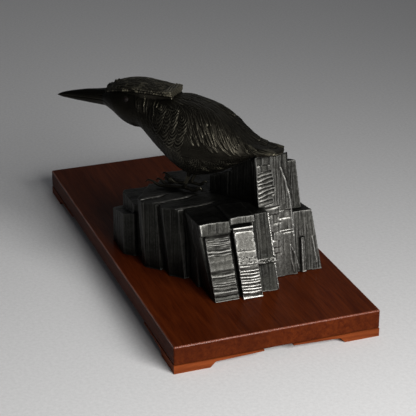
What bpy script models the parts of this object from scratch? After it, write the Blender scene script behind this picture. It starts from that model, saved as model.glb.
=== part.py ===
"""A bronze kingfisher leaning out from a rock of stepped blocks, on a wooden plinth."""

import math
import random

import bmesh
import bpy
import numpy as np
from mathutils import Matrix, Vector

# Plinth, in metres
PLINTH_LENGTH = 0.296
PLINTH_WIDTH = 0.140
BOARD_THICKNESS = 0.013
BOARD_EDGE_ROUND = 0.0009
FOOT_HEIGHT = 0.006
FOOT_REACH = 0.060
FOOT_PAD = 0.024
FOOT_RISE = 0.0036
FOOT_TIP = 0.0010
FOOT_DEPTH = 0.011
FIT_GAP = 0.0003

# Rock, in metres: its reach along, across and up to the ledge that the bird stands on
ROCK_LENGTH = 0.130
ROCK_WIDTH = 0.122
LEDGE_HEIGHT = 0.049
FLUTE_PITCH = 0.0062
FLUTE_DEPTH = 0.0008
RIDGE_COUNT = 8
RIDGE_DEPTH = 0.0006
FRONT_LEAN = 0.29
STRIP_LEAN = 0.064

# Where the bird stands, seen from the plinth's centre, and the way it faces
PERCH_X = 0.0275
PERCH_Y = -0.0175
HEADING = math.radians(223.0)

# Bird, in metres from bill tip to tail tip, and one millimetre of the life-size bird
BIRD_LENGTH = 0.171
MM = BIRD_LENGTH / 171.0
AROUND = 24
RINGS = 32
BILL_RINGS = (64.5, 67.0, 73.0, 80.0, 88.0, 95.0, 99.0, 102.0)
EYE_RADIUS = 0.0020
EYE_GAP = 0.0003
EYE_AHEAD = 40.4
EYE_ANGLE = 56.0
EYE_SINK = 0.8

# Legs and toes. Each toe has the way it points, in degrees outward from its foot's line,
# and its length in life-size millimetres. Each foot has its side, its distance from the
# bird's line, the degrees that it is turned to the bird's left, and its size.
SHANK_RADIUS = 0.0013
TOE_RADIUS = 0.0011
TOES = ((12.0, 25.5), (0.0, 20.5), (-14.0, 18.0), (180.0, 13.0))
FEET = (("left", 1, 5.4, -3.0, 1.08), ("right", -1, 4.6, 7.0, 0.92))
CLAW_ARCH = 2.8

# Bird stations from the tail to the bill: distance ahead of the feet, top, bottom and
# half width, all in life-size millimetres, heights above the ledge
STATIONS = (
    (-69.0, 38.8, 37.8, 1.4),
    (-67.6, 39.4, 37.0, 5.4),
    (-64.0, 39.8, 36.4, 7.6),
    (-58.0, 40.2, 35.9, 8.6),
    (-52.0, 41.2, 34.2, 9.6),
    (-46.0, 43.8, 30.8, 11.6),
    (-38.0, 49.2, 25.4, 15.0),
    (-29.0, 55.8, 19.6, 18.6),
    (-18.0, 61.3, 15.0, 21.0),
    (-6.0, 64.3, 12.8, 22.0),
    (4.0, 65.5, 16.7, 21.4),
    (14.0, 65.0, 24.4, 19.6),
    (24.0, 64.8, 32.8, 16.8),
    (31.0, 65.2, 38.7, 15.3),
    (38.0, 66.6, 39.1, 15.1),
    (45.0, 67.3, 41.4, 14.6),
    (53.0, 65.4, 46.6, 12.1),
    (60.0, 62.6, 49.0, 7.8),
    (62.5, 61.6, 49.2, 5.8),
    (66.0, 60.7, 49.2, 5.0),
    (80.0, 58.0, 49.2, 3.5),
    (92.0, 54.8, 49.4, 2.2),
    (99.0, 52.4, 49.7, 1.1),
    (102.0, 50.8, 50.2, 0.4),
)

# Crest: stations of the cap of long feathers, from its cut-off end over the nape to the
# bill: distance ahead of the feet, top, half width, droop of its edges and their depth
CREST_STATIONS = (
    (8.2, 70.0, 8.8, 0.3, 3.4),
    (16.0, 70.4, 9.6, 0.6, 3.5),
    (26.0, 71.5, 10.8, 1.4, 3.7),
    (36.0, 72.4, 11.6, 2.4, 3.7),
    (46.0, 71.4, 11.2, 2.8, 3.5),
    (54.0, 68.6, 9.0, 2.4, 3.0),
    (60.8, 64.4, 5.2, 1.5, 2.2),
)
CREST_STRANDS = 5
CREST_GROOVE = 0.45
CREST_ROOT = 12.0

# Folded wing: stations from its tip over the tail to the shoulder: distance ahead of the
# feet, upper edge and lower edge in degrees from the spine, and thickness
WING_STATIONS = (
    (-66.5, 50.0, 88.0, 0.8),
    (-62.0, 34.0, 98.0, 1.1),
    (-54.0, 20.0, 103.0, 1.4),
    (-42.0, 13.0, 105.0, 1.7),
    (-25.0, 11.0, 104.0, 2.1),
    (-8.0, 12.0, 100.0, 2.2),
    (6.0, 17.0, 94.0, 1.9),
    (15.0, 28.0, 84.0, 1.3),
    (21.0, 46.0, 68.0, 0.5),
)
WING_SLICES = 27
WING_STEPS = 10
FEATHER_PITCH = 9.0
FEATHER_RELIEF = 1.1
FEATHER_SLANT = 0.30
FEATHER_ANGLE = 1.27


def clear_scene():
    for item in list(bpy.data.objects):
        bpy.data.objects.remove(item, do_unlink=True)


def collection(name, parent=None):
    group = bpy.data.collections.new(name)
    parent = parent or bpy.context.scene.collection
    parent.children.link(group)
    return group


def finish_material(name, color, roughness, metallic):
    material = bpy.data.materials.new(name)
    material.use_nodes = True
    shader = material.node_tree.nodes["Principled BSDF"]
    shader.inputs["Base Color"].default_value = (*color, 1.0)
    shader.inputs["Roughness"].default_value = roughness
    shader.inputs["Metallic"].default_value = metallic
    material.diffuse_color = (*color, 1.0)
    return material


def add_object(name, mesh, group, material):
    item = bpy.data.objects.new(name, mesh)
    group.objects.link(item)
    mesh.materials.append(material)
    return item


def add_helper(name, mesh, group):
    """A body that is only united with another one or cut out of it."""
    item = bpy.data.objects.new(name, mesh)
    group.objects.link(item)
    item.hide_render = True
    item.display_type = "WIRE"
    return item


def join_with(item, group):
    """Unite an object with everything in a collection of helpers."""
    union = item.modifiers.new("Unite", "BOOLEAN")
    union.operation = "UNION"
    union.operand_type = "COLLECTION"
    union.collection = group
    union.solver = "EXACT"


def cut_with(item, cutter):
    cut = item.modifiers.new("Cut", "BOOLEAN")
    cut.operation = "DIFFERENCE"
    cut.object = cutter
    cut.solver = "EXACT"


def loft(name, rings):
    """A closed skin through rings of points, capped at both ends."""
    bm = bmesh.new()
    rows = [[bm.verts.new(point) for point in ring] for ring in rings]
    count = len(rows[0])
    for low, high in zip(rows, rows[1:]):
        for index in range(count):
            after = (index + 1) % count
            bm.faces.new((low[index], low[after], high[after], high[index]))
    bm.faces.new(reversed(rows[0]))
    bm.faces.new(rows[-1])
    bmesh.ops.recalc_face_normals(bm, faces=bm.faces)
    mesh = bpy.data.meshes.new(name)
    bm.to_mesh(mesh)
    bm.free()
    return mesh


def mesh_from_curve(curve, name):
    """The solid of a curve, with its caps welded on."""
    guide = bpy.data.objects.new(name, curve)
    bpy.context.scene.collection.objects.link(guide)
    graph = bpy.context.evaluated_depsgraph_get()
    mesh = bpy.data.meshes.new_from_object(guide.evaluated_get(graph))
    bpy.data.objects.remove(guide, do_unlink=True)
    bm = bmesh.new()
    bm.from_mesh(mesh)
    bmesh.ops.remove_doubles(bm, verts=bm.verts, dist=0.000001)
    bmesh.ops.recalc_face_normals(bm, faces=bm.faces)
    bm.to_mesh(mesh)
    bm.free()
    return mesh


def flat_solid(name, outline, thickness):
    """A flat outline in X and Y, given its thickness about Z."""
    curve = bpy.data.curves.new(name, "CURVE")
    curve.dimensions = "2D"
    curve.fill_mode = "BOTH"
    curve.extrude = thickness / 2
    spline = curve.splines.new("POLY")
    spline.points.add(len(outline) - 1)
    for point, (x, y) in zip(spline.points, outline):
        point.co = (x, y, 0.0, 1.0)
    spline.use_cyclic_u = True
    return mesh_from_curve(curve, name)


def tapered_tube(name, route, radii):
    """A tube of changing radius along a route of points."""
    curve = bpy.data.curves.new(name, "CURVE")
    curve.dimensions = "3D"
    curve.bevel_depth = 1.0
    curve.bevel_resolution = 1
    curve.use_fill_caps = True
    spline = curve.splines.new("POLY")
    spline.points.add(len(route) - 1)
    for point, place, radius in zip(spline.points, route, radii):
        point.co = (*place, 1.0)
        point.radius = radius
    return mesh_from_curve(curve, name)


def smooth_between(table, column, where):
    """Value of one column of a station table at a place, on a smooth curve."""
    places = np.array([row[0] for row in table])
    values = np.array([row[column] for row in table])
    slopes = np.gradient(values, places)
    index = int(np.clip(np.searchsorted(places, where) - 1, 0, len(places) - 2))
    span = places[index + 1] - places[index]
    t = min(max((where - places[index]) / span, 0.0), 1.0)
    start = (1 + 2 * t) * (1 - t) ** 2 * values[index] + t * (1 - t) ** 2 * span * slopes[index]
    end = t * t * (3 - 2 * t) * values[index + 1] + t * t * (t - 1) * span * slopes[index + 1]
    return float(start + end)


# Plinth


def make_board(group, material, center_y):
    bm = bmesh.new()
    bmesh.ops.create_cube(bm, size=1.0)
    mesh = bpy.data.meshes.new("plinth_board")
    bm.to_mesh(mesh)
    bm.free()
    mesh.transform(Matrix.Diagonal((PLINTH_LENGTH, PLINTH_WIDTH, BOARD_THICKNESS, 1.0)))
    board = add_object("plinth_board", mesh, group, material)
    board.location = (0.0, center_y, FOOT_HEIGHT + BOARD_THICKNESS / 2)
    edge = board.modifiers.new("Eased edges", "BEVEL")
    edge.width = BOARD_EDGE_ROUND
    edge.segments = 2


def foot_outline():
    """Side of a bracket foot: pad, short slant and long taper up to the board."""
    top = FOOT_HEIGHT - FIT_GAP
    return (
        (0.0, 0.0),
        (FOOT_PAD, 0.0),
        (FOOT_PAD + FOOT_RISE, FOOT_RISE),
        (FOOT_REACH, top - FOOT_TIP),
        (FOOT_REACH, top),
        (0.0, top),
    )


def make_foot(name, group, helpers, material, corner, along, across):
    """One L-shaped bracket foot whose outer corner is under the board's corner."""
    stand = Matrix.Rotation(math.radians(90.0), 4, "X")
    inward = Matrix.Translation((0.0, FOOT_DEPTH / 2, 0.0))
    swap = Matrix(((0, 1, 0, 0), (1, 0, 0, 0), (0, 0, 1, 0), (0, 0, 0, 1)))
    placed = Matrix.Translation(corner) @ Matrix.Diagonal((along, across, 1.0, 1.0))
    long_arm = flat_solid(name, foot_outline(), FOOT_DEPTH)
    long_arm.transform(placed @ inward @ stand)
    cross_arm = flat_solid(name + "_arm", foot_outline(), FOOT_DEPTH)
    cross_arm.transform(placed @ swap @ inward @ stand)
    point_outward(long_arm)
    point_outward(cross_arm)
    arms = collection(name + "_arms", helpers)
    foot = add_object(name, long_arm, group, material)
    add_helper(name + "_arm", cross_arm, arms)
    join_with(foot, arms)


def point_outward(mesh):
    bm = bmesh.new()
    bm.from_mesh(mesh)
    bmesh.ops.recalc_face_normals(bm, faces=bm.faces)
    bm.to_mesh(mesh)
    bm.free()


def make_feet(group, helpers, material, center_y):
    for end_name, end in (("front", 1), ("back", -1)):
        for side_name, side in (("left", -1), ("right", 1)):
            corner = (end * PLINTH_LENGTH / 2, center_y + side * PLINTH_WIDTH / 2, 0.0)
            name = f"plinth_foot_{end_name}_{side_name}"
            make_foot(name, group, helpers, material, corner, -end, -side)


# Rock


def fluted_side(start, end, rng, depth):
    """Points from start towards end, stepping in and out like chiselled flutes."""
    start = Vector(start)
    end = Vector(end)
    run = end - start
    count = max(1, round(run.length / FLUTE_PITCH))
    inward = Vector((-run.y, run.x)).normalized()
    points = [start]
    for step in range(1, count):
        here = start + run * (step / count)
        drop = depth * rng.uniform(0.2, 1.0) if step % 2 else 0.0
        points.append(here + inward * drop)
    return points


def block_plan(front, back, left, right, chamfer, back_cut, rng, depth):
    """Outline of a block seen from above, its left corners cut and its sides fluted."""
    corners = [(front - chamfer, left), (front, left + chamfer), (front, right), (back, right)]
    corners += [(back, left + back_cut * 0.7), (back + back_cut, left)]
    points = []
    for start, end in zip(corners, corners[1:] + corners[:1]):
        points += fluted_side(start, end, rng, depth)
    return points


def block_mesh(name, front, back, left, right, top, bottom=0.0, lean=0.0, flare=0.0, side=0.0,
               tilt=0.0, rise=0.0, chamfer=0.0008, back_cut=0.0008, turn=0.0, seed=0,
               depth=FLUTE_DEPTH):
    """A block of rock from bottom to top above the board.

    lean moves the top back for each unit of height, flare spreads the left side, side moves
    the right side, tilt lets the top fall away towards the back and rise lifts it towards the
    right. The block is turned about its front left corner.
    """
    rng = random.Random(seed)
    plan = block_plan(front, back, left, right, chamfer, back_cut, rng, depth)
    spin = Matrix.Rotation(turn, 2)
    pivot = Vector((front, left))
    rings = []
    for level in (bottom, top):
        ring = []
        for point in plan:
            share = (point.y - left) / (right - left)
            x = point.x - lean * level
            y = point.y - flare * level * (1 - share) + side * level * share
            z = level
            if level == top:
                z = top - tilt * (front - point.x) + rise * (point.y - left)
            x, y = pivot + spin @ (Vector((x, y)) - pivot)
            ring.append((x, y, z))
        rings.append(ring)
    return loft(name, rings)


def block(name, group, *reach, **shape):
    add_helper(name, block_mesh(name, *reach, **shape), group)


def rock_x(share):
    return PERCH_X + share * ROCK_LENGTH


def rock_y(share):
    return PERCH_Y + share * ROCK_WIDTH


def rock_z(share):
    return share * LEDGE_HEIGHT


def ridged_strip(name, group, front, left, right, thickness, top, seed):
    """A thin upright strip on the rock's front, its face crossed by chisel ridges."""
    rng = random.Random(seed)
    face = [(0.0, 0.0)]
    for step in range(1, 2 * RIDGE_COUNT):
        level = top * (step + rng.uniform(-0.25, 0.25)) / (2 * RIDGE_COUNT)
        drop = RIDGE_DEPTH * rng.uniform(0.4, 1.0) if step % 2 else 0.0
        face.append((-drop, level))
    face.append((0.0, top))
    outline = [(front + x - FRONT_LEAN * z, z) for x, z in face]
    outline += [(front - thickness - FRONT_LEAN * top, top), (front - thickness, 0.0)]
    rings = [[(x, y - STRIP_LEAN * z, z) for x, z in outline] for y in (left, right)]
    add_helper(name, loft(name, rings), group)


def make_front_blocks(group):
    """The block nearest the viewer, with three upright strips and two lips on its face."""
    thickness = ROCK_LENGTH * 0.08
    block("front_block", group, rock_x(0.56), rock_x(0.14), rock_y(-0.075), rock_y(0.30),
          rock_z(1.03), lean=FRONT_LEAN, flare=0.13, side=-0.06, tilt=0.035, seed=3)
    ridged_strip("front_strip_left", group, rock_x(0.587), rock_y(-0.073), rock_y(0.066),
                 thickness, rock_z(0.84), 5)
    ridged_strip("front_strip_middle", group, rock_x(0.600), rock_y(0.083), rock_y(0.200),
                 thickness, rock_z(0.93), 8)
    block("front_strip_right", group, rock_x(0.553), rock_x(0.40), rock_y(0.20), rock_y(0.312),
          rock_z(1.02), lean=FRONT_LEAN, flare=0.06, side=-0.06, seed=13)
    block("front_band", group, rock_x(0.560), rock_x(0.40), rock_y(0.20), rock_y(0.316),
          rock_z(0.43), bottom=rock_z(0.37), lean=FRONT_LEAN, flare=0.06, side=-0.06, seed=14,
          depth=0.0)
    block("front_lip_left", group, rock_x(0.590), rock_x(0.40), rock_y(-0.078), rock_y(0.070),
          rock_z(1.03), bottom=rock_z(0.86), lean=FRONT_LEAN, flare=0.13, side=-0.05, tilt=0.03,
          seed=21)
    block("front_lip_right", group, rock_x(0.585), rock_x(0.40), rock_y(0.075), rock_y(0.215),
          rock_z(1.05), bottom=rock_z(0.95), lean=FRONT_LEAN, flare=0.06, side=-0.05, tilt=0.03,
          seed=22)


def make_left_blocks(group):
    """The steps along the left side, each with its front corner cut away."""
    block("left_step_1", group, rock_x(0.285), rock_x(0.04), rock_y(-0.20), rock_y(0.16),
          rock_z(1.015), lean=0.08, flare=0.07, tilt=0.05, chamfer=0.008, seed=31)
    block("left_step_2", group, rock_x(0.15), rock_x(-0.115), rock_y(-0.29), rock_y(0.06),
          rock_z(1.005), lean=0.01, flare=0.05, tilt=0.012, chamfer=0.008, back_cut=0.019, seed=32)
    block("left_low", group, rock_x(-0.027), rock_x(-0.29), rock_y(-0.30), rock_y(-0.05),
          rock_z(0.78), tilt=0.02, chamfer=0.006, back_cut=0.003, seed=33)
    block("left_lowest", group, rock_x(-0.055), rock_x(-0.312), rock_y(-0.355), rock_y(-0.20),
          rock_z(0.66), tilt=0.24, chamfer=0.006, back_cut=0.003, seed=34)


def make_ledge(group):
    """The level slab that the feet stand on, and the lower blocks behind it."""
    block("ledge", group, rock_x(0.09), rock_x(-0.24), rock_y(-0.065), rock_y(0.30),
          LEDGE_HEIGHT, chamfer=0.004, back_cut=0.003, seed=41, depth=0.0004)
    block("ledge_edge", group, rock_x(0.09), rock_x(-0.15), rock_y(-0.15), rock_y(0.10),
          LEDGE_HEIGHT, back_cut=0.005, seed=46, depth=0.0004)
    block("far_middle", group, rock_x(-0.20), rock_x(-0.35), rock_y(-0.12), rock_y(0.22),
          rock_z(0.74), tilt=0.03, seed=42)
    block("far_right", group, rock_x(-0.08), rock_x(-0.33), rock_y(0.15), rock_y(0.44),
          rock_z(0.62), tilt=0.05, seed=43)
    block("right_back", group, rock_x(0.20), rock_x(-0.20), rock_y(0.26), rock_y(0.56),
          rock_z(0.86), tilt=0.05, side=-0.05, seed=44)
    block("right_middle", group, rock_x(0.32), rock_x(0.08), rock_y(0.34), rock_y(0.60),
          rock_z(0.84), tilt=0.10, side=-0.08, seed=45)


def beside_bird(ahead, left):
    """A place on the plinth from the perch, in life-size millimetres ahead of the bird's
    feet and to its left."""
    x = PERCH_X + (ahead * math.cos(HEADING) - left * math.sin(HEADING)) * MM
    y = PERCH_Y + (ahead * math.sin(HEADING) + left * math.cos(HEADING)) * MM
    return x, y


def tail_block(name, group, corner, length, width, height, **shape):
    """A block set out from the bird, by its front left corner and its height over the ledge."""
    x, y = corner
    block(name, group, x, x - length * MM, y, y + width * MM, LEDGE_HEIGHT + height * MM, **shape)


def make_pillar(group):
    """The tall blocks under the tail, set out from the bird that they carry."""
    wall_turn = HEADING - math.radians(191.0)
    tail_block("pillar", group, beside_bird(-63.1, 15.1), 29.5, 26.0, 35.4, lean=0.125,
               flare=0.03, side=-0.060, tilt=0.62, rise=0.055, seed=51)
    tail_block("wall_high", group, beside_bird(-55.6, 5.6), 24.0, 18.2, 33.0, turn=wall_turn,
               tilt=0.68, seed=52)
    tail_block("wall_low", group, beside_bird(-34.0, 1.4), 20.0, 23.8, 20.0, turn=wall_turn,
               tilt=0.43, seed=53)
    tail_block("column_right", group, beside_bird(-67.7, -5.2), 22.0, 20.0, 26.0, lean=0.12,
               side=-0.10, tilt=0.3, seed=54)
    block("column_low", group, rock_x(0.415), rock_x(0.10), rock_y(0.46), rock_y(0.628),
          rock_z(0.86), lean=0.16, side=-0.14, tilt=0.12, seed=55)
    block("column_sliver", group, rock_x(0.428), rock_x(0.30), rock_y(0.500), rock_y(0.532),
          rock_z(0.50), lean=0.16, side=-0.04, seed=56)


def make_rock(group, helpers, material, center_y):
    blocks = collection("rock_blocks", helpers)
    make_front_blocks(blocks)
    make_left_blocks(blocks)
    make_ledge(blocks)
    make_pillar(blocks)
    heart = block_mesh("rock", rock_x(0.40), rock_x(-0.26), rock_y(-0.10), rock_y(0.46),
                       rock_z(0.66), lean=0.10, seed=1)
    rock = add_object("rock", heart, group, material)
    join_with(rock, blocks)
    base = Matrix.Translation((0.0, center_y, FOOT_HEIGHT + BOARD_THICKNESS + FIT_GAP))
    for item in (rock, *blocks.objects):
        item.matrix_world = base


# Bird


def skin_point(where, angle, lift=0.0):
    """A point of the bird's skin, its angle in degrees from the spine towards its left."""
    top = smooth_between(STATIONS, 1, where)
    bottom = smooth_between(STATIONS, 2, where)
    half_width = smooth_between(STATIONS, 3, where)
    turn = math.radians(angle)
    across = Vector((half_width * math.sin(turn), (top - bottom) / 2 * math.cos(turn)))
    out = Vector((math.sin(turn) / half_width, 2 * math.cos(turn) / (top - bottom))).normalized()
    place = across + out * lift
    return Vector((where * MM, place.x * MM, ((top + bottom) / 2 + place.y) * MM))


def make_body_mesh():
    """The skin from the tail, over the body and head, to the bill's tip."""
    places = [STATIONS[0][0], -68.5, -67.4, -65.5]
    places += list(np.linspace(-63.0, 62.5, RINGS))
    places += BILL_RINGS
    rings = []
    for where in places:
        rings.append([skin_point(where, 360.0 * index / AROUND) for index in range(AROUND)])
    return loft("kingfisher", rings)


def make_crest(group):
    """The cap over the crown: grooved strands on top, upright sides and a square end."""
    rings = []
    steps = 2 * CREST_STRANDS
    for where in np.linspace(CREST_STATIONS[0][0], CREST_STATIONS[-1][0], 9):
        top = smooth_between(CREST_STATIONS, 1, where)
        half = smooth_between(CREST_STATIONS, 2, where)
        droop = smooth_between(CREST_STATIONS, 3, where)
        depth = smooth_between(CREST_STATIONS, 4, where)
        ring = []
        for step in range(steps + 1):
            across = 1.0 - 2.0 * step / steps
            groove = CREST_GROOVE if step % 2 else 0.0
            ring.append((across * half, top - droop * across * across - groove))
        eaves = top - droop - depth
        ring += [(-half * 0.96, eaves), (-half * 0.84, eaves - 0.7), (-half * 0.84, top - CREST_ROOT)]
        ring += [(half * 0.84, top - CREST_ROOT), (half * 0.84, eaves - 0.7), (half * 0.96, eaves)]
        rings.append([(where * MM, left * MM, up * MM) for left, up in ring])
    add_helper("crest", loft("crest", rings), group)


def feather_height(where, angle, share, thickness):
    """Thickness of the wing at a point: thin at its upper edge, and with each long feather
    overlapping the next."""
    row = (where + angle * FEATHER_ANGLE) * FEATHER_SLANT / FEATHER_PITCH
    relief = ((row - math.floor(row)) - 0.5) * FEATHER_RELIEF
    swell = min(1.0, 0.2 + 2.6 * share)
    return (thickness + relief * min(1.0, thickness / 2.0)) * swell


def make_wing(name, group, side):
    """A folded wing laid over the flank, with the long feathers carved on it."""
    rings = []
    for where in np.linspace(WING_STATIONS[0][0], WING_STATIONS[-1][0], WING_SLICES):
        upper = smooth_between(WING_STATIONS, 1, where)
        lower = smooth_between(WING_STATIONS, 2, where)
        thickness = smooth_between(WING_STATIONS, 3, where)
        half_height = (smooth_between(STATIONS, 1, where) - smooth_between(STATIONS, 2, where)) / 2
        inset = -min(3.0, half_height * 0.45)
        ring = []
        for share in np.linspace(0.0, 1.0, WING_STEPS):
            angle = upper + (lower - upper) * share
            lift = feather_height(where, angle, share, thickness)
            ring.append(skin_point(where, side * angle, lift))
        for share in np.linspace(1.0, 0.0, WING_STEPS // 2):
            ring.append(skin_point(where, side * (upper + (lower - upper) * share), inset))
        rings.append(ring)
    add_helper(name, loft(name, rings), group)


def toe_route(base, heading, length, rise):
    """A toe lying on the ledge, its claw arching up and down again."""
    forward = Vector((math.cos(heading), math.sin(heading), 0.0))
    start = Vector(base)
    low = TOE_RADIUS * 1.15
    shape = ((0.0, low * 1.5), (0.3, low * 1.1), (0.66, low * 1.05), (0.80, low + rise * 0.75),
             (0.92, low + rise), (1.0, low + rise * 0.35))
    points = []
    for share, height in shape:
        points.append(start + forward * (share * length) + Vector((0.0, 0.0, height)))
    return points


def make_legs(group):
    """Both legs, each with its shank, three toes ahead and one behind."""
    toe_radii = [TOE_RADIUS * share for share in (1.1, 1.0, 0.95, 0.7, 0.5, 0.22)]
    shank_radii = [SHANK_RADIUS * share for share in (1.9, 1.0, 1.05)]
    for side_name, side, stance, turn, size in FEET:
        sole = Vector((0.8 * MM, stance * MM * side, FIT_GAP))
        hip = Vector((-7.0 * MM, 8.0 * MM * side, 20.0 * MM))
        ankle = sole + Vector((0.0, 0.0, 1.6 * TOE_RADIUS))
        name = f"shank_{side_name}"
        add_helper(name, tapered_tube(name, [hip, hip.lerp(ankle, 0.6), ankle], shank_radii), group)
        for number, (outward, length) in enumerate(TOES):
            heading = math.radians(outward * side + turn)
            route = toe_route(sole, heading, length * size * MM, CLAW_ARCH * MM)
            name = f"toe_{side_name}_{number}"
            add_helper(name, tapered_tube(name, route, toe_radii), group)


def eye_place(side):
    return skin_point(EYE_AHEAD, side * EYE_ANGLE, -EYE_SINK)


def ball(name, radius, center):
    bm = bmesh.new()
    bmesh.ops.create_uvsphere(bm, u_segments=10, v_segments=7, radius=radius)
    bmesh.ops.translate(bm, verts=bm.verts, vec=center)
    mesh = bpy.data.meshes.new(name)
    bm.to_mesh(mesh)
    bm.free()
    mesh.shade_smooth()
    return mesh


def make_bird(group, helpers, bronze, inlay, center_y):
    limbs = collection("bird_limbs", helpers)
    make_legs(limbs)
    make_crest(limbs)
    make_wing("wing_left", limbs, 1)
    make_wing("wing_right", limbs, -1)
    mesh = make_body_mesh()
    mesh.shade_smooth()
    mesh.set_sharp_from_angle(angle=math.radians(35.0))
    bird = add_object("kingfisher", mesh, group, bronze)
    join_with(bird, limbs)
    moved = [bird, *limbs.objects]
    for side_name, side in (("left", 1), ("right", -1)):
        hollow = ball(f"socket_{side_name}", EYE_RADIUS + EYE_GAP, eye_place(side))
        socket = add_helper(f"socket_{side_name}", hollow, helpers)
        cut_with(bird, socket)
        eye = ball(f"eye_{side_name}", EYE_RADIUS, eye_place(side))
        moved += [socket, add_object(f"eye_{side_name}", eye, group, inlay)]
    ledge = FOOT_HEIGHT + BOARD_THICKNESS + FIT_GAP + LEDGE_HEIGHT
    place = Matrix.Translation((PERCH_X, PERCH_Y + center_y, ledge))
    for item in moved:
        item.matrix_world = place @ Matrix.Rotation(HEADING, 4, "Z")


def overhang():
    """How far the bill reaches out past the plinth's left side."""
    bill_reach = STATIONS[-1][0] * MM
    bill_side = STATIONS[-1][3] * MM
    bill_y = PERCH_Y + math.sin(HEADING) * bill_reach - abs(math.cos(HEADING)) * bill_side
    return max(0.0, -PLINTH_WIDTH / 2 - bill_y)


def main():
    clear_scene()
    parts = collection("bronze_kingfisher")
    helpers = collection("cutters")
    wood = finish_material("lacquered_wood", (0.20, 0.055, 0.028), 0.32, 0.0)
    foot_wood = finish_material("foot_wood", (0.30, 0.09, 0.035), 0.40, 0.0)
    rock_bronze = finish_material("rock_bronze", (0.16, 0.16, 0.15), 0.42, 1.0)
    bird_bronze = finish_material("bird_bronze", (0.055, 0.050, 0.042), 0.42, 1.0)
    inlay = finish_material("eye_inlay", (0.12, 0.06, 0.055), 0.25, 0.0)
    center_y = overhang() / 2
    make_board(parts, wood, center_y)
    make_feet(parts, helpers, foot_wood, center_y)
    make_bird(parts, helpers, bird_bronze, inlay, center_y)
    make_rock(parts, helpers, rock_bronze, center_y)
    bpy.context.view_layer.update()


main()
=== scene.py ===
"""Looks of the bronze kingfisher: the carved bird and rock, the plinth and the stage."""

import itertools
import math
import random
from typing import NamedTuple

import bmesh
import bpy
import numpy as np
from bpy.props import FloatProperty, FloatVectorProperty, PointerProperty
from mathutils import Matrix, Vector
from mathutils.bvhtree import BVHTree


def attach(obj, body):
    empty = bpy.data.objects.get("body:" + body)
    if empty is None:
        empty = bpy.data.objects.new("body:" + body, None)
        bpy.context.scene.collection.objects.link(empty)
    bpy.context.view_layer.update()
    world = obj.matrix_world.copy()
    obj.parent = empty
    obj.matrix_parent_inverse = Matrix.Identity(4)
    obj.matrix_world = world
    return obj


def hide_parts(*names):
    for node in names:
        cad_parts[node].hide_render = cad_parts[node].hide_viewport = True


bl_info = {
    "name": "Bronze Kingfisher",
    "version": (1, 0, 0),
    "blender": (4, 5, 0),
    "location": "View3D > Sidebar > Kingfisher",
    "description": "Carves the bird and its rock, finishes the plinth and sets the stage",
    "category": "Object",
}

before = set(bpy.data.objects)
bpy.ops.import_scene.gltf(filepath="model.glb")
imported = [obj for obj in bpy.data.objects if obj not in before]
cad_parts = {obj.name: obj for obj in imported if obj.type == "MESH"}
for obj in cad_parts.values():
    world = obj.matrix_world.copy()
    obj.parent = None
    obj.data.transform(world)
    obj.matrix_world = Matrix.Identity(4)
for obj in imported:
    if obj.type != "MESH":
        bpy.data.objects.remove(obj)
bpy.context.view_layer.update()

# One millimetre in the frame's metres, and the most triangles in one piece
MM = 0.001
MOST_TRIANGLES = 192000

# The bird's place: millimetres from the centre of the model, and the way it faces
BIRD_STANDS = (27.5, -8.822, 68.3)
BIRD_HEADING = math.radians(223.0)

# The rock's place: its blocks are measured from the plinth's centre and the board's top
ROCK_STANDS = (0.0, 8.678, 19.3)

# Bird stations from the tail to the bill: distance ahead of the feet, top, bottom and
# half width, in millimetres, heights above the ledge
BODY = np.array((
    (-69.0, 38.8, 37.8, 1.4),
    (-67.6, 39.4, 37.0, 5.4),
    (-64.0, 39.8, 36.4, 7.6),
    (-58.0, 40.2, 35.9, 8.6),
    (-52.0, 41.2, 34.2, 9.6),
    (-46.0, 43.8, 30.8, 11.6),
    (-38.0, 49.2, 25.4, 15.0),
    (-29.0, 55.8, 19.6, 18.6),
    (-18.0, 61.3, 15.0, 21.0),
    (-6.0, 64.3, 12.8, 22.0),
    (4.0, 65.5, 16.7, 21.4),
    (14.0, 65.0, 24.4, 19.6),
    (24.0, 64.8, 32.8, 16.8),
    (31.0, 65.2, 38.7, 15.3),
    (38.0, 66.6, 39.1, 15.1),
    (45.0, 67.3, 41.4, 14.6),
    (53.0, 65.4, 46.6, 12.1),
    (60.0, 62.6, 49.0, 7.8),
    (62.5, 61.6, 49.2, 5.8),
    (66.0, 60.7, 49.2, 5.0),
    (80.0, 58.0, 49.2, 3.5),
    (92.0, 54.8, 49.4, 2.2),
    (99.0, 52.4, 49.7, 1.1),
    (102.0, 50.8, 50.2, 0.4),
))

# Crest: distance ahead of the feet, top, half width, droop of its edges and their depth
CREST = np.array((
    (8.2, 70.0, 8.8, 0.3, 3.4),
    (16.0, 70.4, 9.6, 0.6, 3.5),
    (26.0, 71.5, 10.8, 1.4, 3.7),
    (36.0, 72.4, 11.6, 2.4, 3.7),
    (46.0, 71.4, 11.2, 2.8, 3.5),
    (54.0, 68.6, 9.0, 2.4, 3.0),
    (60.8, 64.4, 5.2, 1.5, 2.2),
))

# How far the crest reaches down into the head, how many strands lie side by side on it and
# how long they are, where the squared plate at its rear ends and the groove before it runs,
# and how the knobs on its rim are spaced ahead and up
CREST_ROOT = 12.0
CREST_STRANDS = 21
STRAND = 17.0
PLATE_END = 14.4
PLATE_GROOVE = 14.2
KNOB_STEP = 2.0
KNOB_ROWS = 2.2

# Folded wing: distance ahead of the feet, upper and lower edge in degrees from the spine,
# and thickness
WING = np.array((
    (-66.5, 50.0, 88.0, 0.8),
    (-62.0, 34.0, 98.0, 1.1),
    (-54.0, 20.0, 103.0, 1.4),
    (-42.0, 13.0, 105.0, 1.7),
    (-25.0, 11.0, 104.0, 2.1),
    (-8.0, 12.0, 100.0, 2.2),
    (6.0, 17.0, 94.0, 1.9),
    (15.0, 28.0, 84.0, 1.3),
    (21.0, 46.0, 68.0, 0.5),
))

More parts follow.
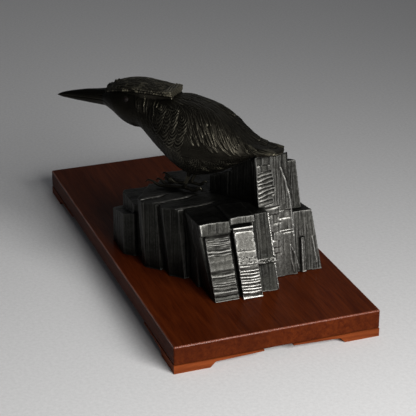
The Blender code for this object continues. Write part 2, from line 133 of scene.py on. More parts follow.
# Bill: the angles of its gape and its upper ridge in degrees from the spine, and where its
# nostrils are, ahead and in degrees
GAPE_ANGLE = 99.0
BILL_RIDGE_ANGLE = 52.0
NOSTRIL = (63.6, 66.0)

# Tufts where the bill leaves the forehead: distance ahead, to the left, up and their height
TUFTS = ((60.8, 0.6, 62.6, 3.3), (59.4, -0.8, 63.4, 2.9), (55.4, 0.9, 66.2, 3.4),
         (53.8, -0.7, 67.0, 2.8))

# Legs and toes, as on the solid: radius of the shank and of a toe, where the soles and hips
# are, the length of a toe's scales, then each toe's heading and length, and each foot's side,
# stance, turn and size
SHANK = 1.3
TOE = 1.1
SOLE_AHEAD = 0.8
SOLE_HEIGHT = 0.3
HIP = (-7.0, 8.0, 20.0)
TOE_SCALE = 1.35
TOES = ((12.0, 25.5), (0.0, 20.5), (-14.0, 18.0), (180.0, 13.0))
FEET = ((1, 5.4, -3.0, 1.08), (-1, 4.6, 7.0, 0.92))
CLAW_ARCH = 2.8

# Eye: distance ahead, degrees from the spine, depth of its centre and its radius, then the
# fine ring round its pupil: its depth, and its angle and width in degrees
EYE_AHEAD = 40.4
EYE_ANGLE = 56.0
EYE_SINK = 0.8
EYE_RADIUS = 2.0
EYE_RING_DEPTH = 0.10
EYE_RING_ANGLE = 27.0
EYE_RING_WIDTH = 5.0

# Feathers: most tone of one that isn't rubbed pale, width of a straight barb and of a curved
# one, and how much wider than its usual place a feather's search for its points is
USUAL_TONE = 0.85
BARB_WIDTH = 2.4
ARC_WIDTH = 1.75
SEARCH_MARGIN = 2.0

# Where the random draws of each kind of mark start
FEATHER_SEED = 300
LINE_SEED = 500
LEVEL_CUT_SEED = 540
BRICK_SEED = 560
RIDGE_SEED = 580
SIDE_SEED = 700

# A step that spreads the values of numbered rows evenly between 0 and 1, a full turn in
# radians for a wave's random start, and large numbers that scramble the cells of the noise
SCATTER = 0.618
ANY_START = 6.3
NOISE_KEYS = np.array((73856093, 19349663, 83492791))
NOISE_SEED_KEY = 2654435
NOISE_MIX = 1274126177

# Tracts of feathers: ahead from and to, degrees from the spine from and to, step back and
# step down in millimetres, heading in degrees down from straight back, and how much it
# turns over the tract, then length, width, lift and curl of one feather
TRACTS = {
    "nape": (9, -8, 2, 34, 3.2, 2.2, 8, 14, 7.0, 2.2, 0.42, 0.4),
    "mantle": (-4, -56, 0, 22, 4.2, 2.9, 8, 22, 10, 2.7, 0.34, 0.4),
    "ear": (34, 11, 36, 60, 3.3, 7.0, 66, 10, 8.5, 1.25, 0.75, 0.1),
    "neck": (33, 12, 60, 96, 3.6, 3.6, 50, -20, 6.0, 2.8, 0.26, 0.7),
    "shoulder": (14, -8, 40, 84, 5.8, 5.4, 34, 40, 8.2, 7.4, 0.90, 1.1),
    "covert": (-5, -17, 26, 58, 3.8, 2.8, 44, 10, 8.5, 2.4, 0.55, 0.5),
    "strokes_upper": (-12, -50, 22, 50, 2.8, 6.4, 46, 8, 13.5, 2.2, 0.72, 0.5),
    "strokes_lower": (-9, -42, 52, 74, 2.9, 6.2, 54, -14, 9.0, 2.1, 0.56, 0.5),
    "primaries": (-14, -66, 86, 104, 11.0, 3.4, 2, 2, 34, 4.4, 0.30, 0.0),
    "tip": (-46, -67, 34, 88, 8.0, 3.0, 12, -10, 18, 3.4, 0.30, 0.0),
    "breast": (20, -4, 84, 180, 3.8, 3.6, 26, 6, 5.6, 4.0, 0.34, 1.3),
    "flank": (-2, -48, 106, 150, 6.2, 5.0, 34, -34, 9.5, 6.2, 0.70, 1.3),
    "vent": (-8, -50, 146, 180, 6.0, 3.2, 8, 0, 9.5, 3.8, 0.40, -0.8),
    "tail": (-46, -69, 92, 180, 9.0, 3.0, 0, 0, 20, 3.4, 0.25, 0.0),
}

# Single feathers: ahead, degrees from the spine, heading, length, width, lift, curl and
# tone, which shows as rubbed pale above the usual. Each is on both sides of the bird, except
# that one with degrees below nothing is on its right alone.
SINGLE_FEATHERS = (
    (27.6, 33, 78, 6.5, 1.3, 0.80, 0.1, 1.0),
    (25.2, 34, 78, 8.5, 1.2, 0.60, 0.1, 0.8),
    (19.6, 31, 80, 5.6, 1.3, 0.75, 0.1, 1.0),
    (16.8, 31, 80, 5.2, 1.3, 0.75, 0.1, 1.0),
    (13.0, 36, 72, 2.8, 1.3, 0.75, 0.1, 1.0),
    (14.6, 46, 2, 4.0, 1.6, 0.85, 0.2, 1.0),
    (9.6, 44, -2, 7.0, 1.2, 0.70, 0.1, 0.9),
    (2.6, 40, 0, 4.0, 1.9, 0.90, 0.3, 1.0),
    (5.0, 25, 6, 7.0, 1.8, 0.70, 0.3, 0.9),
    (-18.0, -24, 2, 13.0, 8.5, 1.35, 0.0, 0.3),
    (-16.0, 124, 20, 8.0, 4.6, 1.00, 1.6, 0.95),
    (-24.0, 128, 12, 8.5, 4.8, 1.00, 1.4, 0.95),
    (-32.0, 128, 4, 9.0, 4.8, 1.00, 1.4, 0.9),
    (-11.0, 112, 30, 7.0, 4.2, 0.90, 1.6, 0.9),
    (-44.0, -24, 4, 7.0, 5.0, 0.90, 0.0, 0.4),
    (-50.0, -22, -4, 6.5, 4.4, 0.90, 0.0, 0.5),
    (-57.0, -20, 0, 6.5, 4.6, 0.90, 0.0, 0.6),
    (-57.0, 46, 6, 10.0, 6.0, 0.80, 0.0, 0.94),
    (-47.0, 36, 14, 8.0, 2.2, 0.90, 0.2, 0.94),
    (-52.0, 58, 8, 8.0, 2.4, 0.90, 0.2, 0.93),
)


class Block(NamedTuple):
    """A block of the rock, as on the solid but without its flutes.

    Its sides are in millimetres. It leans back, and its left and right sides lean out, by a
    share of the height; its top falls to the back by the tilt and gains to the right by the
    rise. Its front and back left corners are cut off, it is turned by degrees about its front
    left corner, and its faces are made bright by a share: partly rubbed bronze, and partly
    painted light and painted shade as the light falls on the block.
    """

    front: float
    back: float
    left: float
    right: float
    top: float
    bottom: float = 0.0
    lean: float = 0.0
    left_flare: float = 0.0
    right_flare: float = 0.0
    tilt: float = 0.0
    rise: float = 0.0
    chamfer: float = 0.8
    back_cut: float = 0.8
    turn: float = 0.0
    rubbed: float = 0.0


BLOCKS = {
    "front_block": Block(100.3, 45.7, -26.65, 19.1, 50.47, lean=0.29, left_flare=0.13,
                         right_flare=-0.06, tilt=0.035, rubbed=0.03),
    "strip_left": Block(103.81, 93.41, -26.41, -9.45, 41.16, lean=0.29, left_flare=0.064,
                        right_flare=-0.064, chamfer=0.01, back_cut=0.01, rubbed=0.20),
    "strip_middle": Block(105.5, 95.1, -7.37, 6.9, 45.57, lean=0.29, left_flare=0.064,
                          right_flare=-0.064, chamfer=0.01, back_cut=0.01, rubbed=0.62),
    "strip_right": Block(99.39, 79.5, 6.9, 20.56, 49.98, lean=0.29, left_flare=0.06,
                         right_flare=-0.06, rubbed=0.92),
    "band": Block(100.3, 79.5, 6.9, 21.05, 21.07, bottom=18.13, lean=0.29, left_flare=0.06,
                  right_flare=-0.06, rubbed=0.28),
    "lip_left": Block(104.2, 79.5, -27.02, -8.96, 50.47, bottom=42.14, lean=0.29, left_flare=0.13,
                      right_flare=-0.05, tilt=0.03, rubbed=0.06),
    "lip_right": Block(103.55, 79.5, -8.35, 8.73, 51.45, bottom=46.55, lean=0.29, left_flare=0.06,
                       right_flare=-0.05, tilt=0.03, rubbed=0.16),
    "left_step_1": Block(64.55, 32.7, -41.9, 2.02, 49.73, lean=0.08, left_flare=0.07, tilt=0.05,
                         chamfer=8, rubbed=0.03),
    "left_step_2": Block(47, 12.55, -52.88, -10.18, 49.24, lean=0.01, left_flare=0.05, tilt=0.012,
                         chamfer=8, back_cut=19, rubbed=0.02),
    "left_low": Block(23.99, -10.2, -54.1, -23.6, 38.22, tilt=0.02, chamfer=6, back_cut=3,
                      rubbed=0.02),
    "left_lowest": Block(20.35, -13.06, -60.81, -41.9, 32.34, tilt=0.24, chamfer=6, back_cut=3,
                         rubbed=0.02),
    "ledge": Block(39.2, -3.7, -25.43, 19.1, 49, chamfer=4, back_cut=3, rubbed=0.02),
    "ledge_edge": Block(39.2, 8, -35.8, -5.3, 49, back_cut=5, rubbed=0.02),
    "far_middle": Block(1.5, -18, -32.14, 9.34, 36.26, tilt=0.03, rubbed=0.03),
    "far_right": Block(17.1, -15.4, 0.8, 36.18, 30.38, tilt=0.05, rubbed=0.03),
    "right_back": Block(53.5, 1.5, 14.22, 50.82, 42.14, right_flare=-0.05, tilt=0.05,
                        rubbed=0.08),
    "right_middle": Block(69.1, 37.9, 23.98, 55.7, 41.16, right_flare=-0.08, tilt=0.1,
                          rubbed=0.08),
    "pillar": Block(83.95, 54.45, 14.49, 40.49, 84.4, lean=0.125, left_flare=0.03,
                    right_flare=-0.06, tilt=0.62, rise=0.055, rubbed=0.19),
    "wall_high": Block(71.98, 47.98, 16.32, 34.52, 86.6, tilt=0.68, turn=32, rubbed=0.03),
    "wall_low": Block(53.32, 33.32, 4.66, 28.46, 69, tilt=0.43, turn=32, rubbed=0.03),
    "column_right": Block(73.47, 51.47, 32.47, 52.47, 75, lean=0.12, right_flare=-0.1, tilt=0.3,
                          rubbed=0.10),
    "column_low": Block(81.45, 40.5, 38.62, 59.12, 42.14, lean=0.16, right_flare=-0.14, tilt=0.12,
                        rubbed=0.24),
    "column_sliver": Block(83.14, 66.5, 43.5, 47.4, 24.5, lean=0.16, right_flare=-0.04,
                           rubbed=0.40),
}
SIDES = ("chamfer", "front", "right", "back", "cut", "left", "top")

# Chisel lines on a block's side: from and to along it, spacing, depth, width, slant, and the
# heights between which they are cut
LINES = (
    ("strip_left", "front", 0.0, 17.0, 3.4, 0.10, 0.25, 0.02, 0.0, 42.0),
    ("strip_right", "front", -1.5, 9.0, 1.9, 0.62, 0.48, -0.05, 21.6, 44.4),
    ("strip_right", "front", -0.5, 10.6, 2.3, 0.66, 0.52, -0.05, 0.0, 17.6),
    ("lip_left", "front", 0.0, 18.0, 1.5, 0.36, 0.32, 0.12, 42.0, 51.0),
    ("lip_right", "front", 0.0, 17.0, 1.7, 0.26, 0.30, 0.12, 46.0, 52.0),
    ("pillar", "front", 10.0, 27.0, 1.7, 0.42, 0.36, -0.03, 47.0, 90.0),
    ("pillar", "front", 13.0, 27.0, 4.6, 0.40, 0.34, 0.0, 0.0, 34.0),
    ("column_right", "front", 0.0, 22.0, 2.2, 0.45, 0.38, 0.0, 0.0, 90.0),
    ("column_low", "front", 0.0, 22.0, 2.3, 0.45, 0.38, 0.0, 0.0, 90.0),
    ("front_block", "left", 0.0, 60.0, 4.2, 0.45, 0.45, 0.0, 0.0, 90.0),
)

# Level cuts across a strip: the height of its top, how unevenly the bands between the cuts
# are dressed, then each cut's distance down from the top, depth and width
LEVEL_CUTS = {
    "strip_left": (41.16, 1.0, (
        (0.9, 0.5, 0.3), (1.9, 0.6, 0.3), (3.1, 0.5, 0.3), (4.4, 0.7, 0.35), (5.6, 0.5, 0.3),
        (8.4, 0.8, 0.4), (10.6, 1.0, 0.6), (12.2, 0.5, 0.3), (23.5, 0.7, 0.35), (25.7, 0.7, 0.35),
        (27.3, 0.6, 0.3), (30.0, 0.8, 0.4), (31.8, 0.6, 0.35), (34.0, 0.9, 0.5), (38.0, 0.8, 0.4),
    )),
    "strip_middle": (45.57, 0.1, (
        (2.0, 0.9, 0.5), (15.0, 0.45, 0.28), (24.4, 0.6, 0.35), (27.0, 1.1, 0.5), (29.0, 1.1, 0.5),
        (31.0, 1.0, 0.45), (33.0, 1.0, 0.45), (34.6, 0.8, 0.4), (36.8, 1.2, 0.55), (38.6, 0.9, 0.4),
        (40.7, 1.1, 0.5), (43.5, 1.0, 0.5),
    )),
}

# Bricks: squared facets dressed on a block's front, from and to along it and up, their
# width, height and how far they differ in depth
BRICKS = (
    ("pillar", 3.0, 12.5, 11.0, 47.5, 5.6, 5.2, 0.30),
    ("pillar", -3.5, 7.0, 73.5, 84.0, 4.6, 4.6, 0.46),
    ("pillar", 12.5, 24.0, 32.0, 50.0, 7.0, 7.5, 0.26),
    ("strip_right", -2.0, 9.6, 44.4, 50.0, 2.6, 2.5, 0.60),
)

# Slanting ridges on the left of the pillar's front: heights from and to, spacing, slope,
# depth, how far along they reach and the most of them that there may be
RIDGES = (50.0, 72.8, 2.85, 0.24, 0.95, 9.2, 24)

# The middle strip, by height: where its planed stretch starts, is level and ends, and between
# which heights it is pitted
PLANED = (19.0, 21.0, 43.0)
PITTED = (22.0, 27.0)

# The pillar's front is cut back on its right: heights, and how far along it starts there
PILLAR_FACET = ((30.0, 36.0, 53.2, 68.2, 76.0), (23.0, 22.2, 20.9, 17.2, 14.4))

# Low risers on the ledge's top: distance ahead, from and to across, and how far in front of
# it each is felt; then the joint between the two front slabs, across
RISERS = ((35.0, -56.0, -40.0, 8.0), (44.2, -52.0, -24.0, 13.0), (59.6, -42.0, -14.0, 12.0))
SLAB_JOINT = -11.2

# Strokes and fine lines on every side that has no lines of its own: where they start along
# it, how deep they are and the spacing of each
STROKES_START = -4.0
STROKE_DEPTH = 0.34
STROKE_PITCH = 4.2
FINE_PITCH = 4.6

# Single cuts on a block's side, from one place to another along it and up, with the width
# and depth of the tool; a cut with a depth below nothing is a bead that stands out
CUTS = (
    ("pillar", "front", 1.0, 48.4, 13.5, 49.6, 0.5, 0.55),
    ("pillar", "front", 12.6, 49.4, 12.2, 30.0, 0.42, 0.35),
    ("pillar", "front", 14.6, 30.6, 23.0, 31.2, 0.45, 0.50),
    ("pillar", "front", 8.6, 38.3, 14.2, 38.2, 0.45, 0.40),
    ("pillar", "front", 21.6, 17.0, 22.6, 8.0, 0.60, 0.35),
    ("strip_right", "front", 8.3, 46.5, 9.9, 22.0, 0.40, 0.80),
    ("band", "front", 9.8, 23.0, 9.8, 16.0, 0.35, 0.45),
    ("band", "front", 11.6, 19.6, 13.4, 19.6, 0.90, -0.70),
    ("left_step_2", "front", 2.0, 46.0, 4.6, 40.0, 0.45, 0.60),
    ("left_step_1", "front", 1.2, 46.5, 3.4, 41.0, 0.45, 0.60),
)

# Places on a block's front made brighter than the rest, as rubbed bronze and painted highlight,
# and one made darker as painted shade: along it, up, reach along and up, and how much more
POLISH_AND_PAINTED_LIGHT_SPOTS = (
    ("pillar", 18.5, 39.0, 4.0, 6.0, 0.34),
    ("pillar", 12.0, 24.0, 10.0, 26.0, 0.62),
    ("pillar", 5.0, 62.0, 5.0, 14.0, -0.16),
    ("pillar", -1.5, 62.0, 2.4, 11.0, 0.40),
    ("lip_left", 0.6, 50.0, 2.4, 2.4, 0.40),
    ("lip_right", 5.0, 51.5, 5.0, 1.6, 0.30),
    ("strip_right", 4.0, 47.5, 7.0, 2.6, 0.22),
)

# Painted highlights: bright lines along edges of a block's front, raised a little as beads: from
# one place to another along it and up, their width, height and how bright they are
HIGHLIGHT_LINES = (
    ("strip_right", 9.7, 50.0, 11.3, 21.6, 0.55, 0.55, 1.0),
    ("strip_right", 11.4, 17.4, 12.4, 0.3, 0.55, 0.45, 0.75),
    ("strip_right", 5.4, 17.0, 6.0, 1.0, 0.35, 0.20, 0.45),
    ("strip_right", -0.6, 49.2, 9.4, 49.6, 0.45, 0.20, 0.6),
    ("strip_right", -0.6, 44.8, 9.6, 45.2, 0.40, 0.25, 0.6),
    ("strip_right", 2.2, 49.5, 2.4, 45.2, 0.35, 0.25, 0.5),
    ("strip_right", 5.6, 49.5, 5.8, 45.4, 0.35, 0.25, 0.5),
    ("pillar", 14.4, 76.0, 17.2, 68.0, 0.45, 0.15, 0.7),
    ("pillar", 17.2, 68.4, 20.9, 53.0, 0.50, 0.20, 1.0),
    ("pillar", 20.9, 53.4, 22.2, 36.0, 0.50, 0.20, 0.9),
    ("pillar", 22.2, 36.4, 23.2, 24.0, 0.45, 0.20, 0.7),
    ("pillar", 20.0, 21.4, 20.7, 10.0, 0.36, 0.30, 0.7),
    ("pillar", 20.7, 10.4, 22.8, 1.6, 0.36, 0.30, 0.85),
    ("pillar", 20.0, 21.8, 24.0, 13.0, 0.36, 0.30, 0.7),
    ("column_low", 0.4, 13.4, 3.2, 2.0, 0.40, 0.35, 0.85),
    ("column_low", 13.2, 24.0, 16.2, 4.0, 0.45, 0.30, 0.9),
    ("column_right", 12.4, 70.0, 14.0, 48.0, 0.40, 0.20, 0.7),
    ("column_sliver", 0.3, 24.0, 0.5, 1.0, 0.40, 0.15, 0.8),
    ("lip_left", 0.2, 50.2, 0.4, 43.0, 0.50, 0.10, 0.5),
    ("lip_left", 0.2, 50.0, 15.0, 50.6, 0.40, 0.05, 0.5),
    ("lip_right", 0.2, 51.2, 14.0, 51.8, 0.40, 0.05, 0.5),
    ("band", 12.4, 20.4, 12.4, 18.6, 0.80, 0.40, 1.0),
)

# The bar across the right strip: its lower and upper edge and how far it stands out
BAND = (18.1, 21.1, 0.15)


def along(table, column, places):
    """One column of a station table at the places given, on a smooth curve."""
    knots = table[:, 0]
    values = table[:, column]
    slopes = np.gradient(values, knots)
    index = np.clip(np.searchsorted(knots, places) - 1, 0, len(knots) - 2)
    span = knots[index + 1] - knots[index]
    t = np.clip((places - knots[index]) / span, 0.0, 1.0)
    near = (1 + 2 * t) * (1 - t) ** 2 * values[index]
    near += t * (1 - t) ** 2 * span * slopes[index]
    far = t * t * (3 - 2 * t) * values[index + 1]
    far += t * t * (t - 1) * span * slopes[index + 1]
    return near + far


def soft_noise(points, size, seed):
    """Soft random values from 0 to 1 over points in millimetres."""
    scaled = points / size
    cell = np.floor(scaled).astype(np.int64)
    part = scaled - cell
    part = part * part * (3 - 2 * part)
    total = np.zeros(len(points))
    for corner in itertools.product((0, 1), repeat=3):
        x, y, z = ((cell + np.array(corner)) * NOISE_KEYS).T
        key = x ^ y ^ z ^ seed * NOISE_SEED_KEY
        key = (key ^ (key >> 13)) * NOISE_MIX & 0xFFFFFFFF
        value = ((key ^ (key >> 15)) & 0xFFFF) / 65535
        total += value * np.where(corner, part, 1 - part).prod(axis=1)
    return total


def stations(table, places):
    """Every column of a station table after its first, at the places given."""
    return [along(table, column, places) for column in range(1, table.shape[1])]


def bell(distance, width):
    """1 at no distance, falling off softly on both sides."""
    return np.exp(-((distance / width) ** 2))


def ramp(values, low, high):
    """0 below low, 1 above high, and smooth between."""
    t = np.clip((values - low) / (high - low), 0.0, 1.0)
    return t * t * (3 - 2 * t)


def window(values, low, high, soft):
    """1 between low and high and 0 beyond them, with soft ends."""
    return ramp(values, low - soft, low + soft) * ramp(-values, -high - soft, -high + soft)


def teeth(values, pitch):
    """Even teeth: 1 at every whole pitch and 0 half way between."""
    return np.abs((values / pitch) % 1.0 - 0.5) * 2


# Shells


def ring_shell(rings):
    """A closed skin through rings of points of the same count."""
    rings = np.asarray(rings, float)
    rows, count = rings.shape[:2]
    index = np.arange(rows * count).reshape(rows, count)
    after = np.roll(index, -1, axis=1)
    quads = np.stack((index[:-1], after[:-1], after[1:], index[1:]), axis=-1).reshape(-1, 4)
    faces = [tuple(quad) for quad in quads.tolist()]
    faces += [tuple(index[0, ::-1].tolist()), tuple(index[-1].tolist())]
    return rings.reshape(-1, 3), faces


def joined(shells):
    """Several shells as one set of points and faces."""
    points = []
    faces = []
    for shell_points, shell_faces in shells:
        start = sum(len(chunk) for chunk in points)
        points.append(shell_points)
        faces += [tuple(corner + start for corner in face) for face in shell_faces]
    return np.concatenate(points), faces


def mesh_of(name, points, faces):
    """A mesh of points and faces, its faces turned outwards."""
    mesh = bpy.data.meshes.new(name)
    mesh.from_pydata(np.asarray(points).tolist(), [], faces)
    bm = bmesh.new()
    bm.from_mesh(mesh)
    bmesh.ops.recalc_face_normals(bm, faces=bm.faces)
    bm.to_mesh(mesh)
    bm.free()
    return mesh


def remeshed(mesh, grain, smoothing):
    """One even skin over everything in a mesh, its points a grain apart."""
    guide = bpy.data.objects.new(mesh.name, mesh)
    bpy.context.scene.collection.objects.link(guide)
    skin = guide.modifiers.new("Skin", "REMESH")
    skin.mode = "VOXEL"
    skin.voxel_size = grain
    if smoothing:
        soft = guide.modifiers.new("Soften", "SMOOTH")
        soft.factor = 0.5
        soft.iterations = smoothing
    graph = bpy.context.evaluated_depsgraph_get()
    result = bpy.data.meshes.new_from_object(guide.evaluated_get(graph))
    result.name = mesh.name
    bpy.data.objects.remove(guide, do_unlink=True)
    return result


def thinned(mesh):
    """The mesh with fewer faces where it is smooth, within the most that a piece may have."""
    mesh.calc_loop_triangles()
    guide = bpy.data.objects.new(mesh.name, mesh)
    bpy.context.scene.collection.objects.link(guide)
    thin = guide.modifiers.new("Thin", "DECIMATE")
    thin.ratio = min(1.0, MOST_TRIANGLES / len(mesh.loop_triangles))
    graph = bpy.context.evaluated_depsgraph_get()
    result = bpy.data.meshes.new_from_object(guide.evaluated_get(graph))
    result.name = mesh.name
    result.validate()
    bpy.data.objects.remove(guide, do_unlink=True)
    return result


def triples(items, name):
    """A vector property of every point, as rows of three numbers."""
    values = np.empty(len(items) * 3, np.float32)
    items.foreach_get(name, values)
    return values.reshape(-1, 3).astype(float)


def points_of(mesh):
    """A mesh's points, in metres."""
    return triples(mesh.vertices, "co")


def normals_of(mesh):
    """The way that the skin faces at each point."""
    return triples(mesh.vertex_normals, "vector")


def place_points(mesh, points):
    """Move a mesh's points to new places, in metres."""
    mesh.vertices.foreach_set("co", points.astype(np.float32).ravel())
    mesh.update()


def neighbour_mean(mesh, values):
    """Each point's mean of a value over the points that it is joined to."""
    pairs = np.empty(len(mesh.edges) * 2, np.int32)
    mesh.edges.foreach_get("vertices", pairs)
    one, other = pairs.reshape(-1, 2).T
    count = len(mesh.vertices)
    degree = np.bincount(one, minlength=count) + np.bincount(other, minlength=count)
    columns = []
    for column in np.atleast_2d(values.T):
        total = np.bincount(one, column[other], count) + np.bincount(other, column[one], count)
        columns.append(total / np.maximum(degree, 1))
    return np.stack(columns, axis=-1).reshape(values.shape)


def softened(mesh, values, here, rounds):
    """Values at the points, evened out with their neighbours' where asked."""
    for _ in range(rounds):
        values = np.where(here, neighbour_mean(mesh, values), values)
    return values


def proud(mesh, reach):
    """How far each point stands out from the skin around it, in millimetres."""
    points = points_of(mesh) / MM
    even = points
    for _ in range(reach):
        even = neighbour_mean(mesh, even)
    return ((points - even) * normals_of(mesh)).sum(axis=1)


def note(mesh, name, values):
    """Keep a value at each point for the material."""
    layer = mesh.attributes.new(name, "FLOAT", "POINT")
    layer.data.foreach_set("value", np.asarray(values, np.float32))


def add_piece(name, mesh, material, slot, *nodes):
    """Show a finished mesh in place of CAD nodes."""
    piece = bpy.data.objects.new(name, mesh)
    bpy.context.scene.collection.objects.link(piece)
    mesh.materials.clear()
    mesh.materials.append(material)
    mesh.shade_smooth()
    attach(piece, "root")
    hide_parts(*nodes)
    return piece


# Bird


def mean_radius(ahead):
    """The body's mean radius at places ahead of the feet."""
    return np.interp(ahead, BODY[:, 0], (BODY[:, 3] + (BODY[:, 1] - BODY[:, 2]) / 2) / 2)


def skin_points(ahead, angle, lift=0.0):
    """Points of the bird's skin at an angle in degrees from the spine to its left."""
    top, bottom, half_width = stations(BODY, ahead)
    half_height = (top - bottom) / 2
    turn = np.radians(angle)
    out = np.stack((np.sin(turn) / half_width, np.cos(turn) / half_height), axis=-1)
    out /= np.linalg.norm(out, axis=-1, keepdims=True)
    left = half_width * np.sin(turn) + out[..., 0] * lift
    up = (top + bottom) / 2 + half_height * np.cos(turn) + out[..., 1] * lift
    return np.stack(np.broadcast_arrays(ahead, left, up), axis=-1)


def eye_point(side, lift):
    """A point on the line through an eye, at a height over the skin."""
    return skin_points(np.array(EYE_AHEAD), np.array(EYE_ANGLE * side), lift)


def body_shell():
    """The skin from the tail, over the body and head, to the bill's tip."""
    places = np.concatenate((
        [-69.0, -68.8, -68.4, -67.9, -67.3],
        np.arange(-66.5, 97.0, 0.9),
        np.arange(97.2, 102.01, 0.4),
    ))
    turns = np.linspace(0.0, 360.0, 96, endpoint=False)
    return ring_shell(skin_points(places[:, None], turns[None, :]))


def crest_shell():
    """The cap over the crown, with upright sides and a cut-off end."""
    rings = []
    for where in np.linspace(CREST[0][0], CREST[-1][0], 70):
        top, half, droop, depth = stations(CREST, where)
        ring = [(share * half, top - droop * share * share) for share in np.linspace(1, -1, 41)]
        eaves = top - droop - depth
        root = top - CREST_ROOT
        wide, narrow = half * 0.96, half * 0.84
        ring += [(-wide, eaves), (-narrow, eaves - 0.7), (-narrow, root)]
        ring += [(narrow, root), (narrow, eaves - 0.7), (wide, eaves)]
        rings.append([(where, left, up) for left, up in ring])
    return ring_shell(rings)


def wing_shell(side):
    """A folded wing laid over the flank, thin at its upper edge."""
    rings = []
    outward = np.linspace(0.0, 1.0, 44)
    homeward = np.linspace(1.0, 0.0, 14)
    for where in np.linspace(WING[0][0], WING[-1][0], 110):
        upper, lower, thickness = stations(WING, where)
        top, bottom, _ = stations(BODY, where)
        inset = -min(3.0, (top - bottom) / 2 * 0.45)
        lift = thickness * np.minimum(1.0, 0.2 + 2.6 * outward)
        outer = skin_points(where, side * (upper + (lower - upper) * outward), lift)
        inner = skin_points(where, side * (upper + (lower - upper) * homeward), inset)
        rings.append(np.concatenate((outer, inner)))
    return ring_shell(rings)


def rounded_route(route, count):
    """A smooth route of many points through a few."""
    route = np.array(route, float)
    length = np.concatenate(([0.0], np.cumsum(np.linalg.norm(np.diff(route, axis=0), axis=1))))
    table = np.column_stack((length, route))
    return np.stack(stations(table, np.linspace(0.0, length[-1], count)), axis=-1)


def limb_shell(route, radii, around=14):
    """A round limb of changing radius along a route, its ends closed."""
    route = np.asarray(route, float)
    ahead = np.gradient(route, axis=0)
    ahead /= np.linalg.norm(ahead, axis=1, keepdims=True)
    side = np.cross(ahead, (0.0, 0.0, 1.0))
    weak = np.linalg.norm(side, axis=1) < 0.2
    side[weak] = np.cross(ahead[weak], (1.0, 0.0, 0.0))
    side /= np.linalg.norm(side, axis=1, keepdims=True)
    up = np.cross(side, ahead)
    turns = np.linspace(0.0, 2 * math.pi, around, endpoint=False)
    across = np.cos(turns)[None, :, None] * side[:, None, :]
    across = across + np.sin(turns)[None, :, None] * up[:, None, :]
    return ring_shell(route[:, None, :] + across * np.asarray(radii)[:, None, None])


def toe_shell(base, heading, length, rise):
    """A toe with its scales lying on the ledge, its claw arching up and down again."""
    low = TOE * 1.15
    shape = ((0.0, low * 1.5), (0.3, low * 1.1), (0.66, low * 1.05), (0.80, low + rise * 0.75),
             (0.92, low + rise), (1.0, low + rise * 0.35))
    forward = np.array((math.cos(heading), math.sin(heading), 0.0))
    route = [base + forward * share * length + np.array((0, 0, up)) for share, up in shape]
    fine = rounded_route(route, 60)
    share = np.linspace(0.0, 1.0, 60)
    radii = TOE * np.interp(share, (0, 0.3, 0.66, 0.8, 0.92, 1), (1.1, 1, 0.95, 0.7, 0.5, 0.22))
    scales = (share * length / TOE_SCALE) % 1.0
    radii = radii * (1.0 + 0.10 * (scales - 0.5) * (share < 0.72))
    return limb_shell(fine, radii)


def leg_shells():
    """Both shanks with their scales, and every toe."""
    shells = []
    for side, stance, turn, size in FEET:
        sole = np.array((SOLE_AHEAD, stance * side, SOLE_HEIGHT))
        hip = np.array(HIP) * (1, side, 1)
        ankle = sole + np.array((0.0, 0.0, 1.6 * TOE))
        share = np.linspace(0.0, 1.0, 40)
        route = hip[None, :] + (ankle - hip)[None, :] * share[:, None]
        radii = SHANK * np.interp(share, (0, 0.6, 1), (1.9, 1.0, 1.05))
        radii *= 1.0 + 0.10 * (((share * 14.0) % 1.0) - 0.5) * (share > 0.4)
        shells.append(limb_shell(route, radii))
        for outward, length in TOES:
            heading = math.radians(outward * side + turn)
            shells.append(toe_shell(sole, heading, length * size, CLAW_ARCH))
    return shells


def tuft_shells():
    """Short stiff feathers that stand up where the bill leaves the forehead."""
    shells = []
    for where, left, up, height in TUFTS:
        route = [(where, left, up), (where - 0.5, left, up + height * 0.6),
                 (where - 1.5, left, up + height)]
        shells.append(limb_shell(rounded_route(route, 12), np.linspace(1.1, 0.7, 12), 10))
    return shells


class Skin:
    """Where every point of the bird is: ahead, degrees from the spine, and its part."""

    def __init__(self, points):
        self.points = points
        self.ahead = points[:, 0]
        where = np.clip(self.ahead, BODY[0][0], BODY[-1][0])
        top, bottom, half_width = stations(BODY, where)
        half_height = (top - bottom) / 2
        middle = (top + bottom) / 2
        self.angle = np.degrees(np.arctan2(points[:, 1] / half_width,
                                           (points[:, 2] - middle) / half_height))
        self.turn = np.abs(self.angle)
        self.radius = (half_width + half_height) / 2
        self.leg = ramp(bottom - points[:, 2], 0.2, 1.0)
        self.leg *= ramp(35.0 - np.abs(self.ahead), 0.0, 1.0)
        self.bill = ramp(self.ahead, 61.0, 63.5)
        self.face = ramp(self.ahead, 28.0, 34.0)
        self.find_crest()

    def off_angle(self, angle):
        """Distance round the skin from a line at an angle, in millimetres."""
        return (self.turn - angle) * np.radians(self.radius)

    def find_crest(self):
        """Which points are on the crest's roof and on its upright rim."""
        where = np.clip(self.ahead, CREST[0][0], CREST[-1][0])
        top, half_width, droop, depth = stations(CREST, where)
        share = np.clip(self.points[:, 1] / half_width, -1.0, 1.0)
        roof = top - droop * share * share
        eaves = top - droop - depth
        up = self.points[:, 2]
        inside = ramp(self.ahead, CREST[0][0] - 0.8, CREST[0][0] - 0.2)
        inside *= ramp(CREST[-1][0] + 0.8 - self.ahead, 0.0, 0.6)
        self.crest_wall = inside * ramp(up, eaves - 1.3, eaves - 0.6)
        self.crest_roof = inside * ramp(up, roof - 0.9, roof - 0.4)
        self.crest = np.maximum(self.crest_wall, self.crest_roof)
        self.wall_height = (up - eaves) / depth
        self.crest_share = share


